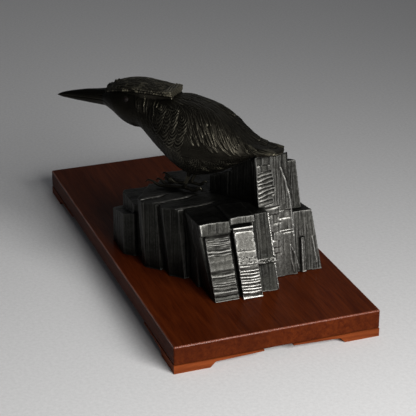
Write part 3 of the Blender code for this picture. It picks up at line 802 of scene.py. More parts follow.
def barbs(run, across, length, width, curl):
    """Depth of a feather's barbs: straight on a long one, curved round a short one's root."""
    if length > 1.9 * width or curl < 0.2:
        depth = 0.30
        turns = 2 * math.pi * across * max(1, round(width / BARB_WIDTH))
    else:
        depth = 0.42
        arc = np.sqrt(run * run + 0.30 * across * across)
        turns = 2 * math.pi * (1 - arc) * length / ARC_WIDTH
    return depth * (0.5 - 0.5 * np.cos(turns))


class Plumage:
    """Feathers laid over the bird's skin: their height in millimetres and their tone."""

    def __init__(self, skin):
        self.skin = skin
        self.height = np.zeros(len(skin.points))
        self.tone = np.full(len(skin.points), 0.5)
        self.order = np.argsort(skin.ahead)
        self.ahead = skin.ahead[self.order]

    def lay(self, where, angle, heading, length, width, lift, curl, tone):
        """Raise one feather over whatever lies under it."""
        first = np.searchsorted(self.ahead, where - length - SEARCH_MARGIN)
        last = np.searchsorted(self.ahead, where + width + SEARCH_MARGIN)
        near = self.order[first:last]
        turn = (self.skin.angle[near] - angle + 180.0) % 360.0 - 180.0
        side = 1.0 if angle >= 0 else -1.0
        down = np.radians(turn) * mean_radius(where) * side
        back = where - self.skin.ahead[near]
        cosine, sine = math.cos(heading), math.sin(heading)
        run = (back * cosine + down * sine) / length
        across = (-back * sine + down * cosine) / (width / 2)
        across = across - curl * run * run
        edge = np.sqrt(np.clip(1 - run ** 4, 0.0, 1.0)) * np.clip(0.45 + 2.0 * run, 0.0, 1.0)
        inside = (run > -0.1) & (run < 1.0) & (np.abs(across) < edge)
        near, run, across, edge = near[inside], run[inside], across[inside], edge[inside]
        height = lift * (0.35 + 0.65 * run) * (1 - 0.45 * (across / edge) ** 2)
        height -= lift * barbs(run, across, length, width, curl)
        height *= ramp(1.0 - run, 0.0, 0.10) * 0.4 + 0.6
        above = height > self.height[near]
        self.height[near[above]] = height[above]
        self.tone[near[above]] = tone

    def lay_tract(self, tract, seed):
        """Shingle one tract of feathers on both sides, from its front to its rear."""
        front, rear, upper, lower, back_step, down_step = tract[:6]
        heading, turning, length, width, lift, curl = tract[6:]
        rng = random.Random(seed)
        for side in (1, -1):
            where = float(front)
            line = 0
            while where > rear:
                step = math.degrees(down_step / mean_radius(where))
                angle = upper + step * (0.5 if line % 2 else 0.0)
                while angle < lower:
                    share = (angle - upper) / (lower - upper)
                    self.lay(
                        where + rng.uniform(-0.25, 0.25) * back_step,
                        side * min(179.0, angle + rng.uniform(-0.2, 0.2) * step),
                        math.radians(heading + turning * share + rng.uniform(-6, 6)),
                        length * rng.uniform(0.85, 1.12),
                        width * rng.uniform(0.85, 1.15),
                        lift * rng.uniform(0.75, 1.1),
                        curl * rng.uniform(0.5, 1.3),
                        rng.random() * USUAL_TONE,
                    )
                    angle += step
                where -= back_step
                line += 1


def crown_strands(skin):
    """Height of the long strands on the crown, broken into shingled lengths."""
    wander = soft_noise(skin.points * (1.0, 1.0, 0.2), 10.0, 4)
    lane = skin.crest_share * CREST_STRANDS / 2 + (wander - 0.5) * 2.4
    number = np.round(lane)
    offset = np.abs(lane - number) * 2
    start = (number * SCATTER) % 1.0
    strength = 0.3 + 0.7 * ((number * 0.381 + np.floor(skin.ahead / STRAND + start) * 0.27) % 1.0)
    shingle = ((-skin.ahead / STRAND - start) % 1.0 - 0.5) * 0.34
    fine = soft_noise(skin.points * (0.16, 1.0, 0.6), 0.9, 6)
    return -0.62 * strength * offset ** 2 + shingle * strength - 0.34 * fine - 0.15


def crest_plate(skin):
    """Height of the plate at the crest's rear: cut across, with a groove before it."""
    cuts = 1 - teeth(skin.ahead + skin.points[:, 1] * 0.18, 1.9)
    plate = 0.22 - 0.50 * ramp(cuts + 0.4 * soft_noise(skin.points, 2.6, 7), 0.8, 1.15)
    return plate - 0.7 * bell(skin.ahead - PLATE_GROOVE, 0.4)


def rim_knobs(skin):
    """Height of the rows of knobs on the crest's upright rim."""
    jitter = soft_noise(skin.points, 3.2, 8)
    row = np.clip(np.floor(skin.wall_height * KNOB_ROWS), 0, 1)
    place = skin.ahead / KNOB_STEP + jitter * 1.4 + row * 0.5
    number = np.floor(place)
    up = skin.wall_height * KNOB_ROWS - row - 0.5
    breadth = 0.25 + ((number * SCATTER + row * 0.37) % 1.0)
    knob = np.clip(1 - ((place - number - 0.5) * 2.1) ** 2 - (up * 1.9) ** 2, 0.0, 1.0)
    return 0.42 * knob ** 0.5 * breadth - 0.24 + 0.2 * (soft_noise(skin.points, 1.4, 11) - 0.5)


def crest_relief(skin):
    """Height of the crest's strands, rim and plate, and of the cuts across its rear end."""
    near_end = ramp(PLATE_END - skin.ahead, 0.0, 0.5)
    roof = crown_strands(skin) * (1 - near_end) + crest_plate(skin) * near_end
    relief = rim_knobs(skin) * skin.crest_wall * (1 - skin.crest_roof) + roof * skin.crest_roof
    end = ramp(CREST[0][0] + 0.5 - skin.ahead, 0.0, 0.4) * skin.crest_wall
    cross = teeth(skin.points[:, 2] + skin.points[:, 1] * 0.5, 1.8)
    return relief * (1 - end) - end * 0.35 * (1 - cross) ** 2


def bill_relief(skin):
    """The gape along the bill, its nostrils and a few fine lines."""
    gape = bell(skin.off_angle(GAPE_ANGLE), 0.32)
    gape *= ramp(skin.ahead, 52.0, 58.0) * ramp(99.0 - skin.ahead, 0.0, 6.0)
    ridge = bell(skin.off_angle(BILL_RIDGE_ANGLE), 0.5) * ramp(90.0 - skin.ahead, 0.0, 20.0)
    nostril = bell(skin.ahead - NOSTRIL[0], 1.6) * bell(skin.off_angle(NOSTRIL[1]), 0.5)
    lines = np.sin(skin.turn * 0.42 + soft_noise(skin.points, 12.0, 9) * 4.0)
    return -0.42 * gape - 0.55 * nostril + skin.bill * (-0.18 * ridge + 0.05 * lines)


def scribbled(skin):
    """Fine carved lines over the feathers, straight on the wing and curling at the shoulder."""
    turn = skin.turn
    heading = np.radians(10.0 + 42.0 * ramp(turn, 12.0, 34.0) - 50.0 * ramp(turn, 78.0, 96.0))
    down = np.radians(turn) * mean_radius(skin.ahead)
    across = skin.ahead * np.sin(heading) + down * np.cos(heading)
    shoulder = ramp(skin.ahead, -14.0, -4.0) * ramp(turn, 28.0, 40.0)
    shoulder = np.maximum(shoulder, ramp(turn, 102.0, 112.0))
    curl = 0.6 + 3.4 * shoulder
    warp = soft_noise(skin.points, 6.5, 31) * curl + 1.1 * soft_noise(skin.points, 2.2, 32)
    strength = ramp(soft_noise(skin.points, 3.4, 33), 0.25, 0.85)
    strength *= 1 - 0.65 * ramp(-skin.ahead, 8.0, 16.0) * (1 - shoulder)
    return np.sin(2 * math.pi * (across / 1.6 + warp)) * strength


def bird_tone(skin, tone):
    """How pale each place is, from the tone of the feather on it, with a painted highlight on the left
    shank.
    """
    shoulder = ramp(skin.ahead, -12.0, -5.0) * ramp(22.0 - skin.ahead, 0.0, 4.0)
    shoulder *= ramp(skin.turn, 32.0, 40.0) * ramp(92.0 - skin.turn, 0.0, 8.0)
    tone = np.where(tone < USUAL_TONE, np.minimum(tone + 0.45 * shoulder, USUAL_TONE), tone)
    flecks = 0.20 + 1.15 * soft_noise(skin.points, 1.4, 13)
    plate = skin.crest * ramp(14.0 - skin.ahead, 0.0, 0.6) * (skin.wall_height < 1.1)
    # A painted highlight: the left shank alone is made pale where the light falls on it.
    painted_shank_highlight = 0.93 * skin.leg * ramp(skin.points[:, 2], 3.5, 6.0) * (skin.points[:, 1] > 0)
    tone = np.maximum(tone * (1 - skin.crest), skin.crest * np.minimum(flecks, 1.0))
    return np.maximum(tone, np.maximum(plate, painted_shank_highlight))


def bird_relief(skin, lift):
    """Height of the carving at each point of the bird, in millimetres, and its tone."""
    plumage = Plumage(skin)
    for number, tract in enumerate(TRACTS.values()):
        plumage.lay_tract(tract, FEATHER_SEED + number)
    for where, angle, heading, *shape in SINGLE_FEATHERS:
        for side in (1, -1) if angle >= 0 else (1,):
            plumage.lay(where, side * angle, math.radians(heading), *shape)
    feathered = (1 - skin.leg) * (1 - skin.bill) * (1 - skin.crest)
    feathered *= 1 - ramp(skin.ahead, 32.0, 37.0)
    relief = (plumage.height + 0.11 * scribbled(skin)) * feathered * lift
    relief = relief + crest_relief(skin) * skin.crest
    relief += bill_relief(skin) * (1 - skin.crest)
    face = skin.face * (1 - skin.bill) * (1 - skin.crest)
    relief += face * 0.16 * (soft_noise(skin.points, 1.1, 2) - 0.5)
    relief += 0.10 * (soft_noise(skin.points, 2.3, 3) - 0.5)
    for side in (1, -1):
        far = np.linalg.norm(skin.points - eye_point(1, -EYE_SINK) * (1, side, 1), axis=1)
        relief += 0.06 * bell(far - 2.7, 0.5) - 0.9 * bell(far, 1.5)
    return relief, bird_tone(skin, plumage.tone)


def bird_unworn_and_shade(skin):
    """How dark and unworn each place is: the face, with painted shade on underside, wing quills and
    toes.
    """
    turn = skin.turn
    face = np.maximum(skin.bill, skin.face) * (1 - skin.crest_roof)
    breast = ramp(skin.ahead, 0.0, 10.0) * ramp(turn, 60.0, 80.0)
    underside = ramp(turn, 104.0, 112.0)
    quills = ramp(turn, 78.0, 86.0) * ramp(110.0 - turn, 0.0, 6.0) * ramp(-skin.ahead, 0.0, 10.0)
    strokes = ramp(-skin.ahead, 10.0, 18.0) * ramp(turn, 20.0, 30.0) * ramp(86.0 - turn, 0.0, 6.0)
    toes = skin.leg * ramp(5.0 - skin.points[:, 2], 0.0, 2.0)
    parts = (face, 0.9 * breast, 0.45 * underside, 0.85 * quills, 0.3 * strokes, toes)
    return np.max(parts, axis=0)


def bird_place():
    """Where the bird stands in the frame, its own measures in millimetres."""
    spin = Matrix.Rotation(BIRD_HEADING, 4, "Z")
    stand = Matrix.Translation(Vector(BIRD_STANDS) * MM)
    return stand @ spin @ Matrix.Scale(MM, 4)


def carve_bird(grain, lift, material):
    """Join the bird's shells into one skin, carve it and show it in place of the solid."""
    shells = [body_shell(), crest_shell(), wing_shell(1), wing_shell(-1)]
    points, faces = joined(shells + leg_shells() + tuft_shells())
    mesh = remeshed(mesh_of("kingfisher_carved", points * MM, faces), grain, 2)
    places = points_of(mesh) / MM
    skin = Skin(places)
    relief, tone = bird_relief(skin, lift)
    places = places + normals_of(mesh) * relief[:, None]
    place_points(mesh, places * MM)
    note(mesh, "worn", np.clip(0.5 + proud(mesh, 4) * 3.4, 0.0, 1.0))
    # Tone, with a painted highlight on the left shank.
    note(mesh, "tone", tone)
    # Unworn places, and painted shade on the underside, long quills and toes.
    note(mesh, "dull", bird_unworn_and_shade(skin))
    mesh = thinned(mesh)
    mesh.transform(bird_place() @ Matrix.Scale(1 / MM, 4))
    return add_piece("kingfisher_carved", mesh, material, "bird_bronze", "kingfisher")


# Eyes


def eye_mesh(name, side):
    """An inlaid eye: a low dome with its pupil marked by a fine ring."""
    bm = bmesh.new()
    bmesh.ops.create_icosphere(bm, subdivisions=5, radius=EYE_RADIUS)
    centre = eye_point(side, -EYE_SINK)
    out = Vector(eye_point(side, 1.0) - centre).normalized()
    for vertex in bm.verts:
        facing = vertex.co.normalized().dot(out)
        off = math.degrees(math.acos(max(-1.0, min(1.0, facing))))
        groove = EYE_RING_DEPTH * math.exp(-(((off - EYE_RING_ANGLE) / EYE_RING_WIDTH) ** 2))
        vertex.co *= 1.0 - groove / EYE_RADIUS
        vertex.co += Vector(centre)
    mesh = bpy.data.meshes.new(name)
    bm.to_mesh(mesh)
    bm.free()
    points = points_of(mesh) - centre
    points /= np.linalg.norm(points, axis=1, keepdims=True)
    note(mesh, "pupil", ramp(points @ np.array(out), 0.90, 0.985))
    mesh.transform(bird_place())
    return mesh


# Rock


def block_faces(block):
    """A block's corners and sides."""
    front, left = block.front, block.left
    plan = [(front - block.chamfer, left), (front, left + block.chamfer), (front, block.right),
            (block.back, block.right), (block.back, left + block.back_cut * 0.7),
            (block.back + block.back_cut, left)]
    cosine, sine = math.cos(math.radians(block.turn)), math.sin(math.radians(block.turn))
    corners = []
    for level in (block.bottom, block.top):
        for x, y in plan:
            share = (y - left) / (block.right - left)
            z = level
            if level == block.top:
                z = level - block.tilt * (front - x) + block.rise * (y - left)
            x = x - block.lean * level - front
            y = y - block.left_flare * level * (1 - share) + block.right_flare * level * share - left
            corners.append((front + x * cosine - y * sine, left + x * sine + y * cosine, z))
    count = len(plan)
    sides = [(i, (i + 1) % count, count + (i + 1) % count, count + i) for i in range(count)]
    sides.append(tuple(range(count, 2 * count)))
    return corners, sides


class RockMap:
    """Which block and side each point of the rock is on, and where on that side."""

    def __init__(self, points):
        corners, faces, starts, runs = [], [], [], []
        self.labels = []
        for name, block in BLOCKS.items():
            block_corners, sides = block_faces(block)
            for label, side in zip(SIDES, sides):
                faces.append(tuple(len(corners) + corner for corner in side))
                self.labels.append((name, label))
                start = np.array(block_corners[side[0]])
                run = np.array(block_corners[side[1]]) - start
                starts.append(start[:2])
                runs.append(run[:2] / max(np.linalg.norm(run[:2]), 1e-6))
            corners += block_corners
        tree = BVHTree.FromPolygons(corners, faces)
        nearest = [tree.find_nearest(point)[2:] for point in points.tolist()]
        self.face = np.array([face for face, _ in nearest])
        self.inset = np.array([distance for _, distance in nearest])
        self.points = points
        along_side = (points[:, :2] - np.array(starts)[self.face]) * np.array(runs)[self.face]
        self.u = along_side.sum(axis=1)
        self.v = points[:, 2]
        self.rubbed = np.array([BLOCKS[name].rubbed for name, _ in self.labels])[self.face]
        self.flat = np.array([side == "top" for _, side in self.labels])[self.face]

    def on(self, name, side="front"):
        """Which points are on a block's side."""
        return self.face == self.labels.index((name, side))


def wavering(run, rng, slow, fast):
    """A wave along a line, with a pace and a start of its own."""
    return np.sin(run * rng.uniform(slow, fast) + rng.uniform(0.0, ANY_START))


def scored(across, run, rng, low, high, pitch, depth, width, slant):
    """Depth of parallel chisel lines, each a little bent and of its own strength."""
    total = np.zeros(len(across))
    place = low + pitch * rng.uniform(0.2, 0.6)
    while place < high:
        bend = rng.uniform(-0.03, 0.03) + slant
        wave = 0.12 * wavering(run, rng, 0.2, 0.7)
        strength = depth * rng.uniform(0.35, 1.0)
        fade = 0.65 + 0.35 * wavering(run, rng, 0.15, 0.5)
        line = strength * fade * bell(across - place - bend * run - wave, width)
        total = np.maximum(total, line)
        place += pitch * rng.uniform(0.65, 1.35)
    return total


def banded(height, run, rng, uneven, cuts):
    """Depth of level cuts, and of the bands between them, each dressed at its own tilt."""
    edges = np.array([-5.0] + [down for down, _, _ in cuts] + [60.0])
    bent = height + 0.16 * np.sin(run * 0.5 + 1.0) - 0.03 * run
    index = np.clip(np.searchsorted(edges, bent) - 1, 0, len(edges) - 2)
    levels = np.array([uneven * rng.uniform(0.0, 0.34) for _ in edges])
    tilts = np.array([uneven * rng.uniform(-0.16, 0.16) for _ in edges])
    middle = (edges[index] + edges[np.minimum(index + 1, len(edges) - 1)]) / 2
    total = levels[index] + np.clip(tilts[index] * (bent - middle), -0.25, 0.25)
    for down, depth, width in cuts:
        fade = 0.7 + 0.3 * wavering(run, rng, 0.2, 0.6)
        total = np.maximum(total, depth * fade * bell(bent - down, width))
    return total


def bricked(u, v, rng, u0, u1, v0, v1, width, height, depth):
    """Depth of squared facets in courses, with fine joints between them."""
    total = np.zeros(len(u))
    low = v0
    while low < v1:
        high = low + height * rng.uniform(0.7, 1.3)
        left = u0 - rng.uniform(0.0, width * 0.5)
        while left < u1:
            right = left + width * rng.uniform(0.6, 1.4)
            inside = (u >= left) & (u < right) & (v >= low) & (v < high)
            tilt_u, tilt_v = rng.uniform(-0.07, 0.07), rng.uniform(-0.07, 0.07)
            facet = depth * rng.uniform(0.1, 0.8) + tilt_u * (u - left) + tilt_v * (v - low)
            joint = np.minimum(np.minimum(u - left, right - u), np.minimum(v - low, high - v))
            facet = facet + depth * 0.35 * bell(joint, 0.5)
            total[inside] = facet[inside]
            left = right
        low = high
    return total * (window(u, u0, u1, 0.5) * window(v, v0, v1, 0.5))


def ridged(u, v, rng):
    """Depth of slanting ridges, each steep below and long above, with ragged ends."""
    low, high, pitch, slope, depth, reach, most = RIDGES
    bent = soft_noise(np.stack((u * 0.6, v, v * 0.0), axis=-1), 3.6, 41) - 0.5
    turn = (v - slope * u - low + bent) / pitch
    number = np.floor(turn).astype(int)
    part = turn - number
    ends = np.array([reach + rng.uniform(-1.8, 1.2) for _ in range(most)])
    lift = np.array([rng.uniform(0.75, 1.2) for _ in range(most)])
    row = np.clip(number, 0, most - 1)
    profile = depth * lift[row] * np.where(part < 0.28, 1 - part / 0.28, (part - 0.28) / 0.72)
    gaps = ramp(soft_noise(np.stack((u, v, u * 0.0), axis=-1), 3.0, 42), 0.3, 0.6)
    profile = profile * (0.45 + 0.55 * gaps)
    lane = ramp(ends[row] - u, 0.0, 1.0) * ramp(v - slope * u, low - 0.2, low + 0.2)
    lane *= ramp(high - v + slope * u, -0.2, 0.2)
    return profile * lane


def hewn(across, run, rng, low, high, pitch, depth):
    """Depth of flat strokes of the chisel laid side by side, each set and tilted on its own."""
    edges = [low]
    while edges[-1] < high:
        edges.append(edges[-1] + pitch * rng.uniform(0.45, 1.6))
    edges = np.array(edges)
    levels = np.array([depth * rng.uniform(0.0, 1.0) for _ in edges])
    tilts = np.array([depth * rng.uniform(-0.35, 0.35) / pitch for _ in edges])
    twists = np.array([depth * rng.uniform(-0.02, 0.02) for _ in edges])
    bent = across + 0.25 * np.sin(run * 0.11 + rng.uniform(0.0, ANY_START))
    index = np.clip(np.searchsorted(edges, bent) - 1, 0, len(edges) - 1)
    return levels[index] + tilts[index] * (bent - edges[index]) + twists[index] * run


def cut_depth(u, v, u0, v0, u1, v1, width, depth):
    """Depth of one straight tool cut, tapering towards its ends."""
    run = np.array((u1 - u0, v1 - v0))
    length = np.linalg.norm(run)
    run /= length
    place = (u - u0) * run[0] + (v - v0) * run[1]
    off = -(u - u0) * run[1] + (v - v0) * run[0]
    taper = ramp(place, -0.6, 1.2) * ramp(length + 0.6 - place, 0.0, 1.8)
    return depth * bell(off, width) * taper


def highlight_lines(rock):
    """Where each line of painted highlight runs, the height of its bead and how bright it is."""
    for name, *ends, width, height, bright in HIGHLIGHT_LINES:
        here = rock.on(name)
        line = np.zeros(len(rock.points))
        line[here] = cut_depth(rock.u[here], rock.v[here], *ends, width, 1.0)
        yield line, height, bright


def band_front(rock):
    """The strip's front near the bar that crosses it."""
    low, high, _ = BAND
    return (rock.on("strip_right") | rock.on("band")) & (rock.v > low - 1.4) & (rock.v < high + 1.2)


def upright_sides(rock, depth):
    """Upright strokes and fine lines on every side that has no lines of its own."""
    total = np.zeros(len(rock.points))
    own = {(row[0], row[1]) for row in LINES} | {(name, "front") for name in LEVEL_CUTS}
    for number, label in enumerate(rock.labels):
        here = rock.face == number
        if label[1] == "top" or label in own or not here.any():
            continue
        rng = random.Random(SIDE_SEED + number)
        u, v = rock.u[here], rock.v[here]
        reach = float(u.max()) + 2.0
        total[here] = hewn(u, v, rng, STROKES_START, reach, STROKE_PITCH, depth)
        total[here] += scored(u, v, rng, STROKES_START, reach, FINE_PITCH, depth * 0.9, 0.34, 0.0)
    return total


def riser_lanes(rock):
    """For each low riser on the ledge's top: distance in front of it, lane and reach."""
    x, y = rock.points[:, 0], rock.points[:, 1]
    wave = (soft_noise(rock.points * (0.3, 1.0, 0.0), 9.0, 12) - 0.5) * 0.5
    for line, left, right, reach in RISERS:
        lane = ramp(y, left - 1.0, left) * ramp(right + 8.0 - y, 0.0, 8.0) * rock.flat
        yield x - line - wave + 0.12 * (y - left), lane, reach


def top_steps(rock):
    """Low risers across the ledge's top, and the joint between its two front slabs."""
    total = np.zeros(len(rock.points))
    for place, lane, reach in riser_lanes(rock):
        total += lane * ramp(place, 0.0, 0.45) * np.clip(1 - place / reach, 0.0, 1.0)
    joint = bell(rock.points[:, 1] - SLAB_JOINT, 0.45) * ramp(rock.points[:, 0], 62.0, 64.0)
    streaks = soft_noise(rock.points * (1.0, 0.16, 0.0), 1.6, 14)
    rest = 0.8 * joint + 0.16 * ramp(streaks, 0.5, 0.9)
    rest += 0.35 * ramp(soft_noise(rock.points, 7.0, 15), 0.5, 0.8)
    return total + rest * rock.flat


def deepen(total, here, depth):
    """Cut to a depth wherever nothing is cut deeper yet."""
    total[here] = np.maximum(total[here], depth)


def dress_sides(rock, total):
    """The lines, level cuts, bricks, ridges and single cuts of the sides that have their own."""
    for number, (name, side, *shape, bottom, top) in enumerate(LINES):
        here = rock.on(name, side) & (rock.v > bottom) & (rock.v < top)
        rng = random.Random(LINE_SEED + number)
        deepen(total, here, scored(rock.u[here], rock.v[here], rng, *shape))
    for number, (name, (top, *cuts)) in enumerate(LEVEL_CUTS.items()):
        here = rock.on(name)
        rng = random.Random(LEVEL_CUT_SEED + number)
        deepen(total, here, banded(top - rock.v[here], rock.u[here], rng, *cuts))
    for number, (name, *shape) in enumerate(BRICKS):
        here = rock.on(name)
        rng = random.Random(BRICK_SEED + number)
        deepen(total, here, bricked(rock.u[here], rock.v[here], rng, *shape))
    here = rock.on("pillar")
    deepen(total, here, ridged(rock.u[here], rock.v[here], random.Random(RIDGE_SEED)))
    for name, side, *cut in CUTS:
        here = rock.on(name, side)
        line = cut_depth(rock.u[here], rock.v[here], *cut)
        total[here] = np.maximum(total[here], line) if cut[-1] > 0 else total[here] + line


def lay_bar(rock, total):
    """Flatten the right strip to the bar across it, with a groove above and below."""
    low, high, out = BAND
    here = band_front(rock)
    height = rock.v[here]
    front, lean = BLOCKS["band"].front, BLOCKS["band"].lean
    sunk = (front - lean * height - rock.points[here, 0]) / math.hypot(1.0, lean)
    bar = ramp(height, low - 0.1, low + 0.2) * ramp(-height, -high - 0.1, -high + 0.2)
    total[here] = total[here] * (1 - bar) - (np.clip(sunk, -0.5, 1.6) + out) * bar
    total[here] += 0.6 * bell(height - low + 0.6, 0.35) + 0.35 * bell(height - high - 0.5, 0.3)


def rock_relief(rock):
    """Depth of the carving at each point of the rock, in millimetres."""
    total = upright_sides(rock, STROKE_DEPTH)
    dress_sides(rock, total)
    for line, height, _ in highlight_lines(rock):
        total -= height * line
    start, level, end = PLANED
    smooth = rock.on("strip_middle") & (rock.v < end)
    total[smooth] -= rock.inset[smooth] * ramp(rock.v[smooth], start, level)
    lay_bar(rock, total)
    facet = np.interp(rock.v, *PILLAR_FACET) + 0.5
    total += 0.8 * rock.on("pillar") * ramp(rock.u - facet, 0.0, 0.6) * ramp(rock.v, 32.0, 40.0)
    pits = rock.on("strip_middle") & (rock.v > PITTED[0]) & (rock.v < PITTED[1])
    total[pits] += 0.2 * ramp(soft_noise(rock.points[pits], 0.7, 27), 0.55, 0.80)
    total += top_steps(rock)
    plain = 1 - 0.85 * ramp(rock.rubbed, 0.1, 0.4)
    total += 0.22 * (soft_noise(rock.points, 4.2, 21) - 0.3).clip(0.0) * plain
    total += 0.10 * soft_noise(rock.points, 1.3, 22)
    return total


def rock_wear(mesh, rock, corner):
    """How worn each point of the rock is and how bright its face is: rubbed, and painted light and
    shade.
    """
    worn = np.clip(0.5 + proud(mesh, 5) * 2.2, 0.0, 1.0)
    # Each block's share of polish and painted light and shade; tops are given only a little of it.
    rubbed = rock.rubbed * np.where(rock.flat, 0.12, 1.0)
    # Spots of painted highlight, and one of painted shade, on the blocks' fronts.
    for name, u, v, reach_u, reach_v, more in POLISH_AND_PAINTED_LIGHT_SPOTS:
        spot = bell(rock.u - u, reach_u) * bell(rock.v - v, reach_v) * rock.on(name)
        rubbed = np.maximum(rubbed + more * spot, 0.0)
    rubbed = softened(mesh, rubbed, corner, 3)
    # Painted highlights on the faces of the low risers.
    for place, lane, _ in riser_lanes(rock):
        riser_highlight = lane * bell(place - 0.2, 0.32)
        rubbed = np.maximum(rubbed, 0.8 * riser_highlight)
        worn = np.maximum(worn, 0.9 * riser_highlight)
    # Painted highlights along the highlight lines.
    for line, _, bright in highlight_lines(rock):
        rubbed = np.maximum(rubbed, bright * line)
        worn = np.maximum(worn, (0.5 + 0.45 * bright) * ramp(line, 0.3, 0.8))
    # Painted shade: the lips' lower edges are kept without bright wear.
    for name in ("lip_left", "lip_right"):
        under = rock.on(name) & (rock.v < BLOCKS[name].bottom + 1.0)
        worn = np.where(under, np.minimum(worn, 0.5), worn)
    return worn, rubbed


def carve_rock(grain, depth, material):
    """Carve the solid rock, with a higher wall behind the tail, and show it in its place."""
    stand = np.array(ROCK_STANDS)
    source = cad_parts["rock"].data
    wall, sides = block_faces(BLOCKS["wall_high"])
    underside = (5, 4, 3, 2, 1, 0)
    shells = [(points_of(source) / MM, [tuple(face.vertices) for face in source.polygons]),
              (np.array(wall) + stand, [*sides, underside])]
    points, faces = joined(shells)
    mesh = remeshed(mesh_of("rock_carved", points * MM, faces), grain, 1)
    places = points_of(mesh) / MM - stand
    rock = RockMap(places)
    corner = np.abs(neighbour_mean(mesh, rock.face.astype(float)) - rock.face) > 0.01
    corner = (neighbour_mean(mesh, corner.astype(float)) > 0.0) & ~band_front(rock)
    relief = softened(mesh, rock_relief(rock) * depth, corner, 4)
    relief = relief * ramp(places[:, 2], 0.2, 1.2)
    places = places - normals_of(mesh) * relief[:, None]
    place_points(mesh, (places + stand) * MM)
    worn, rubbed = rock_wear(mesh, rock, corner)
    # Wear with painted highlights, and polish with painted light and shade, kept for the material.
    note(mesh, "worn", worn)
    note(mesh, "rubbed", rubbed)
    return add_piece("rock_carved", thinned(mesh), material, "rock_bronze", "rock")


# Finishes


def feed(tree, socket, value):
    """Link a socket to an input, or set the input to a plain number or colour."""
    if isinstance(value, bpy.types.NodeSocket):
        tree.links.new(value, socket)
    elif socket.type == "RGBA":
        socket.default_value = (*value, 1.0)
    else:
        socket.default_value = value


def add_node(tree, kind, **settings):
    """A shader node, with its properties and its inputs set by name."""
    node = tree.nodes.new(kind)
    for key, value in settings.items():
        if hasattr(node, key):
            setattr(node, key, value)
        else:
            feed(tree, node.inputs[key.replace("_", " ").title()], value)
    return node


def mixed(tree, factor, one, other):
    """Mix two colours or sockets by a factor."""
    node = add_node(tree, "ShaderNodeMix", data_type="RGBA")
    for index, value in ((0, factor), (6, one), (7, other)):
        feed(tree, node.inputs[index], value)
    return node.outputs[2]


def spread(tree, value, low, high, bottom=0.0, top=1.0):
    """Map a range of values to another, held at its ends."""
    node = tree.nodes.new("ShaderNodeMapRange")
    for index, number in enumerate((value, low, high, bottom, top)):
        feed(tree, node.inputs[index], number)
    return node.outputs[0]


def maths(tree, operation, one, other):
    """One value worked out from two."""
    node = add_node(tree, "ShaderNodeMath", operation=operation)
    for index, value in enumerate((one, other)):
        feed(tree, node.inputs[index], value)
    return node.outputs[0]


def times(tree, one, other):
    """One value times another."""
    return maths(tree, "MULTIPLY", one, other)


def new_group(name, inputs, outputs):
    """A node group with named sockets: (name, type, default)."""
    group = bpy.data.node_groups.new(name, "ShaderNodeTree")
    for label, kind, default in inputs:
        socket = group.interface.new_socket(label, in_out="INPUT", socket_type=kind)
        socket.default_value = default
    for label, kind in outputs:
        group.interface.new_socket(label, in_out="OUTPUT", socket_type=kind)
    return group, group.nodes.new("NodeGroupInput"), group.nodes.new("NodeGroupOutput")


def cast_patina_group():
    """Blotches of patina and fine grain, for cast bronze."""
    group, given, made = new_group(
        "cast_patina",
        [("Blotch Scale", "NodeSocketFloat", 60.0), ("Grain Scale", "NodeSocketFloat", 900.0)],
        [("Blotch", "NodeSocketFloat"), ("Grain", "NodeSocketFloat")],
    )
    place = object_place(group)
    for label, detail, roughness in (("Blotch", 5.0, 0.6), ("Grain", 3.0, 0.7)):
        noise = add_node(group, "ShaderNodeTexNoise", detail=detail, roughness=roughness,
                         vector=place, scale=given.outputs[f"{label} Scale"])
        group.links.new(noise.outputs["Fac"], made.inputs[label])
    return group


def bronze_wear_and_highlight_group():
    """Mask of edges rubbed bright and of painted highlights, and of dirt left in the cuts."""
    group, given, made = new_group(
        "worn_bronze",
        [("Proud", "NodeSocketFloat", 0.5), ("Breakup", "NodeSocketFloat", 0.5),
         ("Start", "NodeSocketFloat", 0.55), ("End", "NodeSocketFloat", 0.8)],
        [("Edge", "NodeSocketFloat"), ("Dirt", "NodeSocketFloat")],
    )
    shift = times(group, maths(group, "SUBTRACT", given.outputs["Breakup"], 0.5), 0.3)
    broken = maths(group, "ADD", given.outputs["Proud"], shift)
    edge = spread(group, broken, given.outputs["Start"], given.outputs["End"])
    group.links.new(edge, made.inputs["Edge"])
    group.links.new(spread(group, broken, 0.5, 0.25), made.inputs["Dirt"])
    return group


def wood_grain_group():
    """Long grain, pores and slow colour change of lacquered hardwood."""
    group, given, made = new_group(
        "wood_grain",
        [("Vector", "NodeSocketVector", (0.0, 0.0, 0.0)), ("Figure", "NodeSocketFloat", 1.0)],
        [("Grain", "NodeSocketFloat"), ("Pores", "NodeSocketFloat"), ("Cloud", "NodeSocketFloat")],
    )
    for label, stretch, scale, detail in (("Grain", (6.0, 95.0, 95.0), 4.0, 6.0),
                                          ("Pores", (30.0, 900.0, 900.0), 2.0, 2.0),
                                          ("Cloud", (9.0, 26.0, 26.0), 1.0, 3.0)):
        turn = add_node(group, "ShaderNodeMapping", vector=given.outputs["Vector"], scale=stretch)
        noise = add_node(group, "ShaderNodeTexNoise", detail=detail, roughness=0.6, scale=scale,
                         vector=turn.outputs["Vector"], distortion=given.outputs["Figure"])
        group.links.new(noise.outputs["Fac"], made.inputs[label])
    return group


def use_group(tree, name, build, **values):
    """A shared effect, built at its first use, with its inputs set by name."""
    node = tree.nodes.new("ShaderNodeGroup")
    node.node_tree = bpy.data.node_groups.get(name) or build()
    for key, value in values.items():
        feed(tree, node.inputs[key.replace("_", " ").title()], value)
    return node.outputs


def new_finish(name):
    """A material with its node tree and its shader."""
    material = bpy.data.materials.new(name)
    material.use_nodes = True
    return material, material.node_tree, material.node_tree.nodes["Principled BSDF"]


